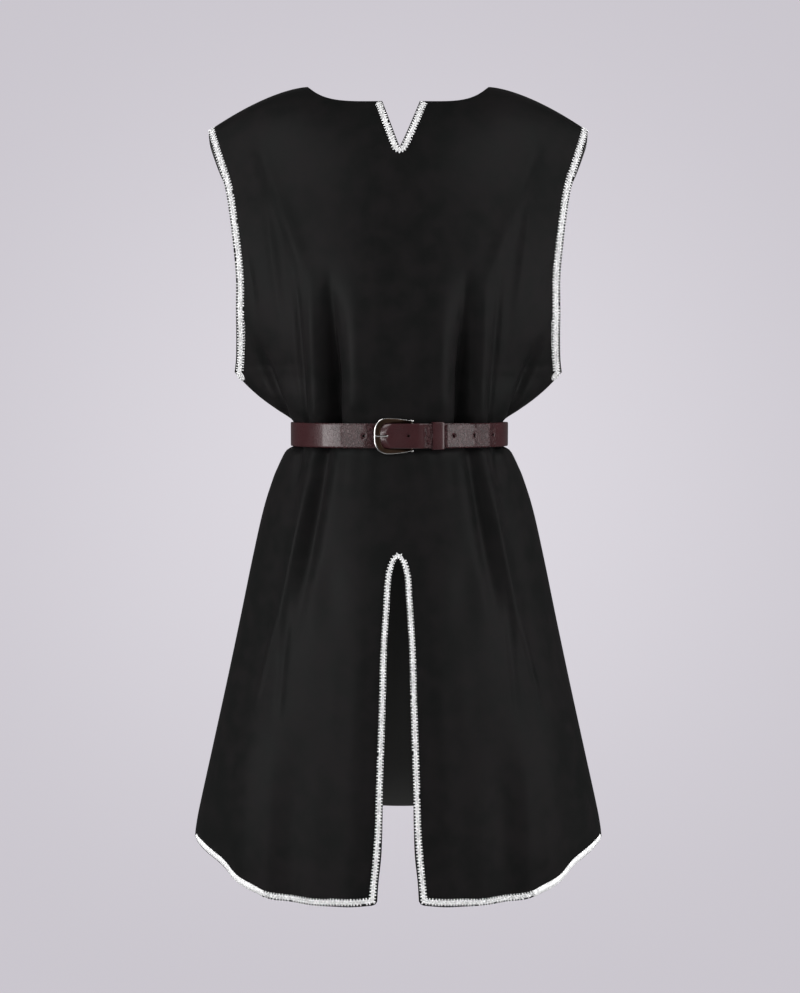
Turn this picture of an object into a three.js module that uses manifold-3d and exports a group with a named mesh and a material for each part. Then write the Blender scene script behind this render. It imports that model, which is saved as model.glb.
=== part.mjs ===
// A sleeveless tunic dress, filled out as it is worn: white braid round the neck notch, the
// armholes, the front slit and the front hem, and a fastened leather belt with a D buckle.
// Millimetres, +Z up, the front faces -Y, +X is the wearer's left. The origin is the middle
// between the neck ends of the two shoulder seams.
import * as THREE from "three";
import Module from "manifold-3d";

const wasm = await Module();
wasm.setup();

// Sizes that drive the shape.
const CLOTH = 1.5; // wall of the cloth
const SEAM = 0.3; // gap between the front and the back panel
const NECK_HALF = 129; // from the middle to the neck end of a shoulder seam
const TIP_HALF = 271; // from the middle to the outer end of a shoulder seam
const TIP_DROP = 62; // the outer end is this much lower than the neck end
const FRONT_NECK = 33.2; // depth of the front neckline
const BACK_NECK = 74; // depth of the back neckline
const NOTCH_HALF = 26; // half width of the notch at the neckline
const NOTCH_FOOT = -101.5; // height of the notch's point
const NOTCH_SHIFT = 4; // the notch sits this much to the wearer's left of the middle
const ARM_FOOT = -405; // height of the foot of the armholes
const SLIT_TOP = -661; // height of the slit's point
const HEM_FRONT = -1133; // lowest line of the front hem
const HEM_SIDE = -1089; // height of the hem at the side seams
const HEM_BACK = -1093; // height of the back hem in the middle

const BRAID = 1.2; // thickness of the braid
const BRAID_LIFT = 0.3; // gap between the braid and the cloth below it
const BRAID_INSET = 1.2; // cloth edge that shows outside the braid
const BRAID_WIDE = 10; // from the cloth edge to the far side of the braid

const WAIST_WIDE = 152; // half width, front depth and back depth of the cloth below the belt
const WAIST_FRONT = 112;
const WAIST_BACK = 104;
const BELT_MID = -494; // height of the middle of the belt
const BELT_HALF = 17; // half of the strap's width
const STRAP = 3; // thickness of the strap
const STRAP_REST = 0.5; // gap between the strap and the cloth
const STRAP_OVER = 3.9; // height of the second layer's inner face over the cloth
const STRAP_BRIDGE = 5.8; // the same where the second layer passes through the keeper
const BAR_X = 18.8; // the bar that the buckle turns on
const BAR_LIFT = 4; // its height over the cloth
const BAR_R = 1.6;
const BAR_PLAY = 0.35; // play of the strap's fold and of the prong's eye on the bar
const FOLD_R = 3.5; // the strap's fold round the bar
const EYE_R = 3.4; // the prong's eye
const HOLES_X = [-46.7, -16.7, 13.4, 74, 102.4, 128.8]; // the second one holds the prong
const HOLE_R = 2.1;
const KEEPER_X = [45.5, 60.1];
const KEEPER_TALL = 9.1; // height of the keeper's outer bridge over the cloth
const KEEPER_WALL = 1.6;
const PRONG_R = 1.3;
const PRONG_PLAY = 0.4; // play of the prong in its hole
const FRAME_HALF = 24.8; // half height of the buckle
const FRAME_BAND = 7.1; // width of the buckle's band

const { PI, abs, acos, asin, cos, exp, hypot, max, min, round, sign, sin } = Math;
const clamp = (v, lo, hi) => min(hi, max(lo, v));
const mix = (a, b, t) => a + (b - a) * t;
const smooth = (t) => {
  const c = clamp(t, 0, 1);
  return c * c * (3 - 2 * c);
};

// A smooth curve through rows [height, value], highest row first.
function curve(rows, at) {
  const last = rows.length - 1;
  if (at >= rows[0][0]) return rows[0][1];
  if (at <= rows[last][0]) return rows[last][1];
  let i = 0;
  while (at < rows[i + 1][0]) i++;
  const slope = (k) => {
    const [z0, v0] = rows[max(0, k - 1)];
    const [z1, v1] = rows[min(last, k + 1)];
    return (v1 - v0) / (z1 - z0);
  };
  const h = rows[i + 1][0] - rows[i][0];
  const t = (at - rows[i][0]) / h;
  const rise = t * t * (3 - 2 * t);
  return (
    mix(rows[i][1], rows[i + 1][1], rise) +
    h * (slope(i) * t * (1 - t) * (1 - t) - slope(i + 1) * t * t * (1 - t))
  );
}

// Half width at the side seams: height, half width.
const SIDE = [
  [-405, 234.5], [-426, 214.5], [-444, 194.4], [-461, 170], [-469, 157.6], [-476, WAIST_WIDE],
  [-494, WAIST_WIDE], [-512, WAIST_WIDE], [-517, 157], [-530, 168.3], [-555, 179.2],
  [-601, 194], [-671, 210.4],
  [-765, 230], [-859, 250.4], [-954, 271.7], [-1049, 293], [-1089, 299.8],
];
// Depth in the middle of the front: height, depth.
const FRONT_DEPTH = [
  [0, 0], [-10, 38], [-33, 68], [-60, 88], [-100, 106], [-150, 120], [-200, 128], [-250, 133],
  [-350, 133], [-405, 130], [-444, 123], [-461, 118], [-469, 115.5], [-476, WAIST_FRONT],
  [-494, WAIST_FRONT], [-512, WAIST_FRONT], [-517, 115], [-530, 119.5], [-555, 124], [-600, 131],
  [-700, 143], [-820, 156], [-940, 168], [-1060, 181], [-1133, 189],
];
// Depth in the middle of the back: height, depth.
const BACK_DEPTH = [
  [0, 0], [-10, 36], [-33, 62], [-60, 80], [-100, 97], [-150, 108], [-200, 112], [-300, 112],
  [-405, 108], [-440, 107], [-461, 107.5], [-469, 107], [-476, WAIST_BACK], [-494, WAIST_BACK],
  [-512, WAIST_BACK], [-517, 107], [-530, 112], [-555, 119], [-600, 127], [-700, 138],
  [-800, 146], [-900, 154], [-1000, 164], [-1093, 175],
];
// Armhole edges: height, distance from the middle, distance in front of or behind the seam line.
const FRONT_ARM = [
  [-62, 271, 0], [-105, 254.8, 22], [-149, 240.7, 36], [-192, 234.2, 43], [-232, 230.2, 45],
  [-272, 227.2, 43], [-321, 228.7, 34], [-370, 230.8, 18], [-405, 234.5, 0],
];
const BACK_ARM = [
  [-62, 271, 0], [-80, 272, 14], [-95, 268.7, 24], [-111, 263.8, 32], [-124, 258.6, 37],
  [-139, 251.2, 41], [-165, 243, 44], [-192, 236.5, 46], [-232, 231, 46], [-272, 229, 43],
  [-321, 230, 34], [-370, 231.5, 18], [-405, 234.5, 0],
];
// How pointed the level sections are at the sides: height, power (1 is an ellipse). Over the belt
// the wings of cloth beyond the body lie nearly flat.
const WING = [
  [0, 1.6], [-60, 2.2], [-150, 2.5], [-250, 2.6], [-405, 2.6], [-440, 1.8], [-464, 1.15],
  [-476, 1], [-494, 1], [-512, 1], [-560, 1.2], [-700, 1.3], [-1133, 1.35],
];
// Half opening of the front slit: height, half width.
const SLIT = [
  [-661, 0], [-668, 5.4], [-677, 8.1], [-720, 10.8], [-785, 14.9], [-849, 16.2], [-914, 18.2],
  [-978, 20.3], [-1064, 22.3], [-1107, 26.4], [-1133, 28],
];
// Distance of the belt's deepest pleat from the middle: height, distance.
const PLEAT = [
  [0, NECK_HALF], [-60, 116], [-150, 103], [-250, 96], [-405, 95], [-474, 93], [-514, 97],
  [-605, 112], [-680, 126], [-830, 146], [-960, 158], [-1133, 172],
];

// Folds of the cloth. Each runs from a top height and distance x to a foot height and distance,
// fades in and out over the heights given, and goes "deep" inwards with the half width "wide".
// One that reaches the hem doesn't fade out.
const fold = (top, xTop, foot, xFoot, fadeIn, fadeOut, deep, wide) => ({
  top, xTop, foot, xFoot, fadeIn, fadeOut, deep, wide,
});
const FRONT_FOLDS = [
  fold(-230, 96, -514, 95, 170, 40, 15, 12), // the deep pleat down to the belt
  fold(-474, 94, -760, 137, 40, 200, 13, 14), // the same pleat below the belt
  fold(-160, 0, -470, 0, 150, 80, 5, 26), // the hollow in the middle of the chest
  fold(-250, 64, -470, 62, 140, 20, -3.5, 15), // the ridge between them
  fold(-270, 128, -514, 122, 130, 40, 8, 9),
  fold(-345, 206, -520, 142, 60, 30, 10, 9), // the drag from the armhole to the belt
  fold(-474, 140, -590, 143, 40, 70, 8, 9),
  fold(-520, 114, -840, 196, 60, 160, -5, 16), // the long ridge of the skirt's side
  fold(-60, 205, -290, 108, 70, 120, -3.5, 17), // the drag from the shoulder
  fold(-620, 100, -800, 92, 90, 110, 5, 26),
  fold(-700, 48, -1133, 62, 160, 60, -5, 26), // the roll beside the slit
  fold(-820, 205, -1133, 216, 180, 60, -7, 34),
  fold(-860, 140, -1133, 150, 160, 60, 6, 24),
];
const BACK_FOLDS = [
  fold(-250, 88, -514, 84, 160, 40, 12, 13),
  fold(-474, 84, -760, 118, 40, 210, 11, 15),
  fold(-300, -66, -514, -72, 150, 40, 13, 13),
  fold(-474, -72, -820, -108, 40, 230, 12, 15),
  fold(-340, 12, -514, 8, 120, 40, 7, 12),
  fold(-474, 8, -700, 14, 40, 160, 8, 14),
  fold(-300, 132, -514, 124, 110, 40, 7, 10),
  fold(-290, -136, -560, -126, 120, 60, 8, 10),
  fold(-474, 130, -640, 150, 40, 110, 7, 11),
  fold(-345, 204, -520, 146, 60, 30, 8, 9),
  fold(-345, -204, -520, -146, 60, 30, 9, 9),
  fold(-70, 200, -300, 96, 80, 120, -4, 17),
  fold(-70, -200, -280, -104, 80, 120, -4, 17),
  fold(-760, 46, -1100, 58, 170, 60, -7, 30),
  fold(-700, -30, -1100, -52, 170, 60, -8, 30),
  fold(-780, 196, -1100, 210, 170, 60, -7, 32),
  fold(-820, -176, -1100, -192, 170, 60, -8, 34),
  fold(-820, 128, -1100, 138, 160, 60, 6, 24),
];

const shoulderDrop = (x) =>
  TIP_DROP * max(0, (abs(x) - NECK_HALF) / (TIP_HALF - NECK_HALF)) ** 1.54;
const frontNeck = (x) => {
  const t = clamp(abs(x) / NECK_HALF, 0, 1);
  return -FRONT_NECK * (1 - t ** 5.2) ** 0.85;
};
const backNeck = (x) => -BACK_NECK * (1 - clamp(abs(x) / NECK_HALF, 0, 1) ** 2.4);
const frontHem = (x) =>
  HEM_FRONT + 8 * (1 - smooth(abs(x) / 150)) + (HEM_SIDE - HEM_FRONT) * smooth((abs(x) - 163) / 134);
const backHem = (x) => mix(HEM_BACK, HEM_SIDE, smooth(abs(x) / 290));

// face is the side of the seams a panel lies on, even says that its folds are mirrored.
const FRONT = {
  face: -1, depth: FRONT_DEPTH, arm: FRONT_ARM, folds: FRONT_FOLDS, neck: frontNeck,
  hem: frontHem, neckHalf: NOTCH_HALF, even: true,
};
const BACK = {
  face: 1, depth: BACK_DEPTH, arm: BACK_ARM, folds: BACK_FOLDS, neck: backNeck,
  hem: backHem, neckHalf: 0, even: false,
};

// Half of the level section of a panel, with its arc length from the middle outwards.
const STEPS = 60;
function section(panel, level) {
  const depth = curve(panel.depth, level);
  const wing = curve(WING, level);
  let wide = curve(SIDE, level);
  let end = PI / 2;
  const rise = level > ARM_FOOT ? 1 - level / ARM_FOOT : 0; // 1 at the shoulder, 0 at the armhole's foot
  if (rise > 0) {
    let z = level - 40 * rise;
    let x = 0;
    for (let k = 0; k < 12; k++) {
      x = curve(panel.arm, z);
      z = level - shoulderDrop(x) * rise;
    }
    const y = curve(panel.arm.map(([at, , out]) => [at, out]), z);
    end = depth > 0.01 ? acos(clamp(y / depth, 0, 1) ** (1 / wing)) : PI / 2;
    wide = x / sin(end);
  }
  const xs = [];
  const ys = [];
  const along = [0];
  for (let k = 0; k <= STEPS; k++) {
    const phi = (end * k) / STEPS;
    xs.push(wide * sin(phi));
    ys.push(depth * max(0, cos(phi)) ** wing);
    if (k) along.push(along[k - 1] + hypot(xs[k] - xs[k - 1], ys[k] - ys[k - 1]));
  }
  return { xs, ys, along, rise, length: along[STEPS] };
}

// The row before a value in a rising list, and how far past it the value is.
function place(list, value) {
  let i = 0;
  while (i < list.length - 2 && value > list[i + 1]) i++;
  return [i, clamp((value - list[i]) / (list[i + 1] - list[i]), 0, 1)];
}
function lengthAt(cut, x) {
  const [i, t] = place(cut.xs, x);
  return mix(cut.along[i], cut.along[i + 1], t);
}

function foldDepth(panel, cut, half, reach, level) {
  let deep = 0;
  for (const f of panel.folds) {
    if (level > f.top || level < f.foot) continue;
    const x = mix(f.xTop, f.xFoot, (f.top - level) / (f.top - f.foot));
    const centre = panel.even ? lengthAt(cut, x) : sign(x) * half * lengthAt(cut, abs(x));
    let strength = smooth((f.top - level) / f.fadeIn);
    if (f.foot > HEM_SIDE) strength *= smooth((level - f.foot) / f.fadeOut);
    deep += f.deep * strength * exp(-(((reach - centre) / f.wide) ** 2));
    if (panel.even && centre > 0) {
      deep += f.deep * strength * exp(-(((reach + centre) / f.wide) ** 2));
    }
  }
  // Folds die out at the edges, and below the belt nothing stands out past its smooth ring.
  const free = smooth((cut.length - reach) / 22);
  const held = abs(level - BELT_MID) < BELT_HALF + 3;
  return (held ? max(0, deep) : deep) * free;
}

// A point of a panel's outer face: half is 1 or -1, reach is the arc length from the middle.
function clothPoint(panel, half, level, reach) {
  const cut = section(panel, level);
  const [i, t] = place(cut.along, reach);
  let x = mix(cut.xs[i], cut.xs[i + 1], t);
  let y = mix(cut.ys[i], cut.ys[i + 1], t);
  const z = level - shoulderDrop(x) * cut.rise;
  const deep = foldDepth(panel, cut, half, reach, level);
  let nx = cut.ys[i] - cut.ys[i + 1];
  let ny = cut.xs[i + 1] - cut.xs[i];
  const long = hypot(nx, ny) || 1;
  x = max(0, x - (deep * nx) / long);
  y -= (deep * ny) / long;
  if (reach < 0.001) x = 0;
  const near = panel.even ? smooth((130 - x) / 100) * smooth((z + 190) / 160) : 0;
  return [half * x + NOTCH_SHIFT * near, panel.face * max(y, SEAM / 2), z];
}

// Heights of the rows at the side, before the neckline and the hem bend them.
const KNEE = -250; // the neckline bends the rows down to here
const HEM_KNEE = -960; // the hem bends them from here
const HEM_FLAT = -1133;
const unbent = (z) => (z + FRONT_NECK) / (1 - FRONT_NECK / -KNEE);
const NOTCH_ROW = unbent(NOTCH_FOOT);
const NOTCH_LOW = unbent(NOTCH_FOOT - 8);
const SLIT_HIGH = SLIT_TOP + 10.5;
const UPPER_ROWS = [
  0, -5, -14, -28, -48, NOTCH_ROW, NOTCH_LOW, -106, -136, -170, -205, -240, -275, -310, -340,
  -365, -387, ARM_FOOT, -422, -438, -452, -462, -469, -476, -494, -512,
];
const FRONT_ROWS = [
  ...UPPER_ROWS, -517, -527, -540, -558, -580, -606, -630, SLIT_HIGH, SLIT_TOP, -677, -705, -740,
  -780, -820, -860, -900, -940, -980, -1020, -1060, -1095, -1122.5, HEM_FLAT,
];
const BACK_ROWS = [
  ...UPPER_ROWS.filter((z) => z !== NOTCH_LOW && z !== -14),
  -517, -528, -542, -562, -590, -625, -665, -710, -760, -810, -860, -910, -960, -1005, -1050, -1095,
  HEM_FLAT,
];
// Shares of the way from the middle to the pleat, and from the pleat to the side.
const FRONT_INNER = [0, 0.3, 0.56, 0.76, 0.89, 1];
const FRONT_OUTER = [0.1, 0.2, 0.3, 0.4, 0.5, 0.6, 0.72, 0.85, 1];
const BACK_INNER = [0, 0.25, 0.5, 0.75, 1];
const BACK_OUTER = [0.16, 0.32, 0.48, 0.64, 0.82, 1];

const notchHalf = (z) =>
  z > NOTCH_FOOT ? NOTCH_HALF * ((NOTCH_FOOT - z) / (NOTCH_FOOT + FRONT_NECK)) ** 0.93 : 0;

// Width of the braid's band along the armholes.
const armBand = (level) => mix(9.5, 12.5, smooth(-level / 110));

// The half opening and the braid's width for each row of the front.
function frontOpening(row) {
  if (row === NOTCH_LOW) return [0, 6.8];
  if (row === NOTCH_ROW) return [0, BRAID_WIDE];
  if (row > NOTCH_LOW) {
    return [notchHalf(row - FRONT_NECK * (1 - row / KNEE)), BRAID_WIDE];
  }
  if (row === SLIT_HIGH) return [0, 6.5];
  if (row === SLIT_TOP) return [0, 13];
  return [row < SLIT_TOP ? curve(SLIT, row) : 0, BRAID_WIDE];
}

// A panel as rows and columns of points for each half, with outward normals.
function panelGrid(panel, rows, inner, outer, opening) {
  const columnCount = 1 + inner.length + outer.length;
  const turn = inner.length; // the column on the neck end of the shoulder seam
  const reachOf = (column, level, open, band) => {
    const cut = section(panel, level);
    const first = lengthAt(cut, open);
    const pleat = lengthAt(cut, curve(PLEAT, level));
    if (column === 0) return first;
    if (column <= turn) return mix(first + band, pleat, inner[column - 1]);
    if (column === columnCount) return cut.length;
    return mix(pleat, cut.length - armBand(level), outer[column - turn - 1]);
  };
  const grid = { halves: {}, columnCount, turn, rows, panel };
  for (const half of [1, -1]) {
    grid.halves[half] = rows.map(() => []);
    for (let c = 0; c <= columnCount; c++) {
      let top = 0;
      for (let k = 0; c < turn && k < 30; k++) {
        const [open, band] = opening(0);
        const reach = reachOf(c, min(top, -1), open, band);
        const [i, t] = place(section(panel, min(top, -1)).along, reach);
        const cut = section(panel, min(top, -1));
        top = mix(top, panel.neck(mix(cut.xs[i], cut.xs[i + 1], t)), 0.6);
      }
      rows.forEach((row, r) => {
        const [open, band] = opening(row);
        let level = row > KNEE ? row + top * (1 - row / KNEE) : row;
        if (row < HEM_KNEE) {
          const x = clothPoint(panel, 1, row, reachOf(c, row, open, band))[0];
          const share = (HEM_KNEE - row) / (HEM_KNEE - HEM_FLAT);
          level = mix(HEM_KNEE, panel.hem(x), share);
          if (panel === FRONT && r === rows.length - 2) level = panel.hem(x) + BRAID_WIDE + 0.5;
        }
        const reach = reachOf(c, level, open, band);
        const p = clothPoint(panel, half, level, reach);
        grid.halves[half][r].push({ p: new THREE.Vector3(...p), n: new THREE.Vector3() });
      });
    }
    rows.forEach((row, r) => {
      if (half < 0 && opening(row)[0] === 0) {
        grid.halves[-1][r][0] = grid.halves[1][r][0];
      }
    });
  }
  for (const quad of quadsOf(grid)) {
    const across = quad[2].p.clone().sub(quad[0].p);
    const n = across.cross(quad[3].p.clone().sub(quad[1].p));
    quad.forEach((v) => v.n.add(n));
  }
  for (const half of [1, -1]) {
    grid.halves[half].forEach((line, r) =>
      line.forEach((v, c) => {
        const onShoulder = r === 0 && c >= turn;
        const onSide = c === columnCount && rows[r] <= ARM_FOOT;
        if (line[0] === v && v === grid.halves[-half][r][0]) v.n.x = 0;
        v.n.normalize();
        // At a seam the wall keeps its thickness up to the seam's plane.
        if (onShoulder || onSide) v.n.divideScalar(max(0.4, 1 - v.n.y ** 2)).setY(0);
      }),
    );
  }
  return grid;
}

// The cells of a grid as quads that face outwards. pick(row, column) chooses them.
function quadsOf(grid, pick = () => true, vertex = (half, r, c) => grid.halves[half][r][c]) {
  const quads = [];
  for (const half of [1, -1]) {
    for (let r = 0; r < grid.rows.length - 1; r++) {
      for (let c = 0; c < grid.columnCount; c++) {
        if (!pick(r, c, half)) continue;
        const quad = [[r, c], [r + 1, c], [r + 1, c + 1], [r, c + 1]];
        const made = quad.map(([i, k]) => vertex(half, i, k));
        quads.push(grid.panel.face * half > 0 ? made.reverse() : made);
      }
    }
  }
  return quads;
}

// A closed wall over quads: its faces lie low and high along the normals of the points.
function wall(quads, low, high) {
  const index = new Map();
  const points = [];
  const idOf = (v) => {
    const key = v.p.toArray().map((c) => round(c * 1000)).join();
    if (!index.has(key)) index.set(key, points.push(v) - 1);
    return index.get(key);
  };
  const faces = [];
  const edges = new Map();
  for (const quad of quads) {
    const ids = quad.map(idOf).filter((id, k, all) => id !== all[(k + 1) % all.length]);
    if (ids.length < 3) continue;
    ids.forEach((id, k) => {
      const next = ids[(k + 1) % ids.length];
      edges.set(id + "," + next, [id, next]);
    });
    faces.push([ids[0], ids[1], ids[2]]);
    if (ids.length === 4) faces.push([ids[0], ids[2], ids[3]]);
  }
  const count = points.length;
  const position = [];
  for (const lift of [low, high]) {
    for (const v of points) position.push(...v.p.clone().addScaledVector(v.n, lift).toArray());
  }
  const triangles = [];
  for (const [a, b, c] of faces) {
    triangles.push(a, c, b, a + count, b + count, c + count);
  }
  for (const [a, b] of edges.values()) {
    if (edges.has(b + "," + a)) continue;
    triangles.push(a, b, b + count, a, b + count, a + count);
  }
  return { position, triangles };
}

// A closed skin over stations, each the same number of points round one section.
function skin(stations) {
  const n = stations[0].length;
  const position = stations.flat(2);
  const triangles = [];
  for (let s = 0; s < stations.length - 1; s++) {
    for (let k = 0; k < n; k++) {
      const a = s * n + k;
      const b = s * n + ((k + 1) % n);
      triangles.push(a, b, b + n, a, b + n, a + n);
    }
  }
  const end = (stations.length - 1) * n;
  for (let k = 1; k < n - 1; k++) triangles.push(0, k + 1, k, end, end + k, end + k + 1);
  return { position, triangles };
}

function solid({ position, triangles }) {
  const at = (i) => new THREE.Vector3().fromArray(position, 3 * i);
  let volume = 0;
  for (let i = 0; i < triangles.length; i += 3) {
    volume += at(triangles[i]).dot(at(triangles[i + 1]).cross(at(triangles[i + 2])));
  }
  const order = triangles.slice();
  for (let i = 0; volume < 0 && i < order.length; i += 3) {
    [order[i + 1], order[i + 2]] = [order[i + 2], order[i + 1]];
  }
  return new wasm.Manifold(
    new wasm.Mesh({
      numProp: 3,
      vertProperties: new Float32Array(position),
      triVerts: new Uint32Array(order),
    }),
  );
}

// A rod of round section along points, with one radius for each.
function rod(points, radii, sides = 10) {
  const path = points.map((p) => new THREE.Vector3(...p));
  const stations = path.map((p, i) => {
    const along = path[min(i + 1, path.length - 1)].clone().sub(path[max(i - 1, 0)]).normalize();
    const up = new THREE.Vector3(0, 0, 1);
    const u = abs(along.z) > 0.9 ? new THREE.Vector3(1, 0, 0) : up;
    const v = along.clone().cross(u).normalize();
    const w = v.clone().cross(along).normalize();
    const r = Array.isArray(radii) ? radii[i] : radii;
    return Array.from({ length: sides }, (_, k) => {
      const a = (2 * PI * k) / sides;
      return p.clone().addScaledVector(v, r * cos(a)).addScaledVector(w, r * sin(a)).toArray();
    });
  });
  return solid(skin(stations));
}

// A point round the waist: turn is the angle from the front middle towards +X, lift the
// distance outside the cloth.
function waistPoint(turn, lift, z) {
  const deep = cos(turn) > 0 ? WAIST_FRONT : WAIST_BACK;
  const n = new THREE.Vector2(sin(turn) / WAIST_WIDE, -cos(turn) / deep).normalize();
  return [WAIST_WIDE * sin(turn) + lift * n.x, -deep * cos(turn) + lift * n.y, z];
}
const turnAt = (x) => asin(x / WAIST_WIDE);
const atX = (x, lift, z) => waistPoint(turnAt(x), lift, z);

// Height of the strap's inner face over the cloth: the layer on the cloth, and the one above it.
const underLift = (x) =>
  STRAP_REST + 1.9 * smooth((x - 26) / 16) * (1 - smooth((x - 64) / 16));
const overLift = (x) => {
  const rise = STRAP_REST + 7.4 * smooth((x + 22) / 38);
  if (x < 24) return rise;
  if (x < 64) return mix(rise, STRAP_BRIDGE, smooth((x - 24) / 18));
  return mix(STRAP_BRIDGE, STRAP_OVER, smooth((x - 64) / 16));
};

function strapStations() {
  const degree = PI / 180;
  const start = turnAt(BAR_X);
  const full = 2 * PI;
  const tip = full + 118 * degree;
  const turns = [start];
  for (let t = start; t < tip - 7 * degree; ) {
    const around = ((t + PI) % full) - PI; // from the front middle, either way
    t += abs(around) < 34 * degree ? 2.4 * degree : 5.5 * degree;
    turns.push(t);
  }
  turns.push(tip - 3.5 * degree, tip - 1.2 * degree, tip);
  const ends = [15.6, 12, 7];
  return turns.map((t, i) => {
    const x = WAIST_WIDE * sin(t);
    const front = cos(t) > 0;
    const second = t > full - 60 * degree && (front || t > full);
    const under = front && x > 0 && t < full ? underLift(x) : STRAP_REST;
    const lift = second ? (front ? overLift(x) : STRAP_OVER) : under;
    const half = i < turns.length - 3 ? BELT_HALF : ends[i - turns.length + 3];
    return [
      waistPoint(t, lift, BELT_MID - half), waistPoint(t, lift + STRAP, BELT_MID - half),
      waistPoint(t, lift + STRAP, BELT_MID + half), waistPoint(t, lift, BELT_MID + half),
    ];
  });
}

const PRONG_PATH = [
  [15.5, 4], [5, 3.2], [-4, 2.2], [-9, 2.1], [-13, 3.8], [-18, 6.5], [-24, 8.5], [-29.6, 9.9],
];
const prongPoints = PRONG_PATH.map(([x, lift]) => atX(x, lift, BELT_MID));
const barPoint = (z) => atX(BAR_X, BAR_LIFT, z);
const barRod = (low, high, radius, sides) =>
  rod([barPoint(BELT_MID + low), barPoint(BELT_MID + high)], radius, sides);

function beltStrap() {
  const loop = barRod(-BELT_HALF, BELT_HALF, FOLD_R, 18);
  let strap = solid(skin(strapStations())).add(loop);
  strap = strap.subtract(barRod(-BELT_HALF - 3, BELT_HALF + 3, BAR_R + BAR_PLAY, 14));
  // The slot in the fold that the prong's eye stands in.
  const slot = [-3.2, 3.2].map((z) =>
    [[14, -0.2], [14, 7.75], [22.8, 7.75], [22.8, -0.2]].map(([x, lift]) =>
      atX(x, lift, BELT_MID + z)),
  );
  strap = strap.subtract(solid(skin(slot)));
  for (const x of HOLES_X) {
    const from = atX(x, overLift(x) - 0.2, BELT_MID);
    const to = atX(x, overLift(x) + 5, BELT_MID);
    strap = strap.subtract(rod([from, to], HOLE_R, 12));
  }
  return strap.subtract(rod(prongPoints, PRONG_R + PRONG_PLAY, 10));
}

function beltKeeper() {
  const [low, high] = [STRAP_REST, KEEPER_TALL + KEEPER_WALL];
  const tall = BELT_HALF + 0.4;
  const box = (grow, over) => {
    const xs = over
      ? [KEEPER_X[0] - 2, KEEPER_X[0], (KEEPER_X[0] + KEEPER_X[1]) / 2, KEEPER_X[1], KEEPER_X[1] + 2]
      : [KEEPER_X[0], (KEEPER_X[0] + KEEPER_X[1]) / 2, KEEPER_X[1]];
    return solid(skin(xs.map((x) => [
      atX(x, low + KEEPER_WALL - grow, BELT_MID - tall - grow),
      atX(x, high - KEEPER_WALL + grow, BELT_MID - tall - grow),
      atX(x, high - KEEPER_WALL + grow, BELT_MID + tall + grow),
      atX(x, low + KEEPER_WALL - grow, BELT_MID + tall + grow),
    ])));
  };
  return box(KEEPER_WALL, false).subtract(box(0, true));
}

// The buckle's outer line: a round end on the left, two arms that close in a little to the bar.
function buckleLine() {
  const arms = [-4, 2, 9, 15, 20];
  const armHeight = (x) => FRAME_HALF - 3.4 * ((x + 8) / 28) ** 2;
  const line = arms.map((x) => [x, armHeight(x)]).reverse();
  for (let k = 0; k <= 16; k++) {
    const a = (PI * k) / 16;
    line.push([-8 - 24.6 * sin(a) ** 0.86, FRAME_HALF * sign(cos(a)) * abs(cos(a)) ** 0.86]);
  }
  for (const x of arms) line.push([x, -armHeight(x)]);
  return line;
}

function buckleFrame() {
  const line = buckleLine();
  const stations = line.map(([x, h], i) => {
    const [x0, h0] = line[max(0, i - 1)];
    const [x1, h1] = line[min(line.length - 1, i + 1)];
    const long = hypot(x1 - x0, h1 - h0);
    const [nx, nh] = [-(h1 - h0) / long, (x1 - x0) / long]; // points into the frame
    // The band is widest at the round end and narrows along the arms, which dip to the bar.
    const band = FRAME_BAND + 1.4 * smooth((-12 - x) / 18) - 3 * smooth((x - 2) / 18);
    const base = BAR_LIFT - 1.8 * smooth((x + 8) / 28);
    const rim = [
      [0, 1.2], [0.5, 3.5], [1.5, 4.4], [2.8, 4.2], [band, 2.3], [band, 0.7], [band - 0.8, 0],
      [0.9, 0],
    ];
    return rim.map(([w, lift]) => atX(x + nx * w, base + lift, BELT_MID + h + nh * w));
  });
  return solid(skin(stations)).add(barRod(-20.5, 20.5, BAR_R, 14));
}

function buckleProng() {
  const radii = PRONG_PATH.map((_, i) => (i === PRONG_PATH.length - 1 ? 0.9 : PRONG_R));
  return rod(prongPoints, radii, 10)
    .add(barRod(-2.8, 2.8, EYE_R, 16))
    .subtract(barRod(-4, 4, BAR_R + BAR_PLAY, 14));
}

// Panels and the braid on them. The braid is made of the panels' own points, lifted.
const front = panelGrid(FRONT, FRONT_ROWS, FRONT_INNER, FRONT_OUTER, frontOpening);
const back = panelGrid(BACK, BACK_ROWS, BACK_INNER, BACK_OUTER, () => [0, BRAID_WIDE]);
const between = (v, w, distance) => {
  const share = distance / v.p.distanceTo(w.p);
  return { p: v.p.clone().lerp(w.p, share), n: v.n.clone().lerp(w.n, share) };
};
const braid = (quads) => wall(quads, BRAID_LIFT, BRAID_LIFT + BRAID);
const notchRow = FRONT_ROWS.indexOf(NOTCH_ROW);
const slitRow = FRONT_ROWS.indexOf(SLIT_TOP);
const hemRow = FRONT_ROWS.length - 1;

// The middle column of the front, drawn in from the cloth edge where the front is open.
function innerVertex(half, r, c) {
  const at = (row) => {
    const line = front.halves[half][row];
    const open = c === 0 && (row < notchRow || row > slitRow);
    return open ? between(line[0], line[1], BRAID_INSET) : line[c];
  };
  return r === 0 ? between(at(0), at(1), BRAID_INSET) : at(r);
}
const notchQuads = quadsOf(front, (r, c) => c === 0 && r <= notchRow, innerVertex);
const slitQuads = quadsOf(front, (r, c) => c === 0 && r >= slitRow - 1, innerVertex);

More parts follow.
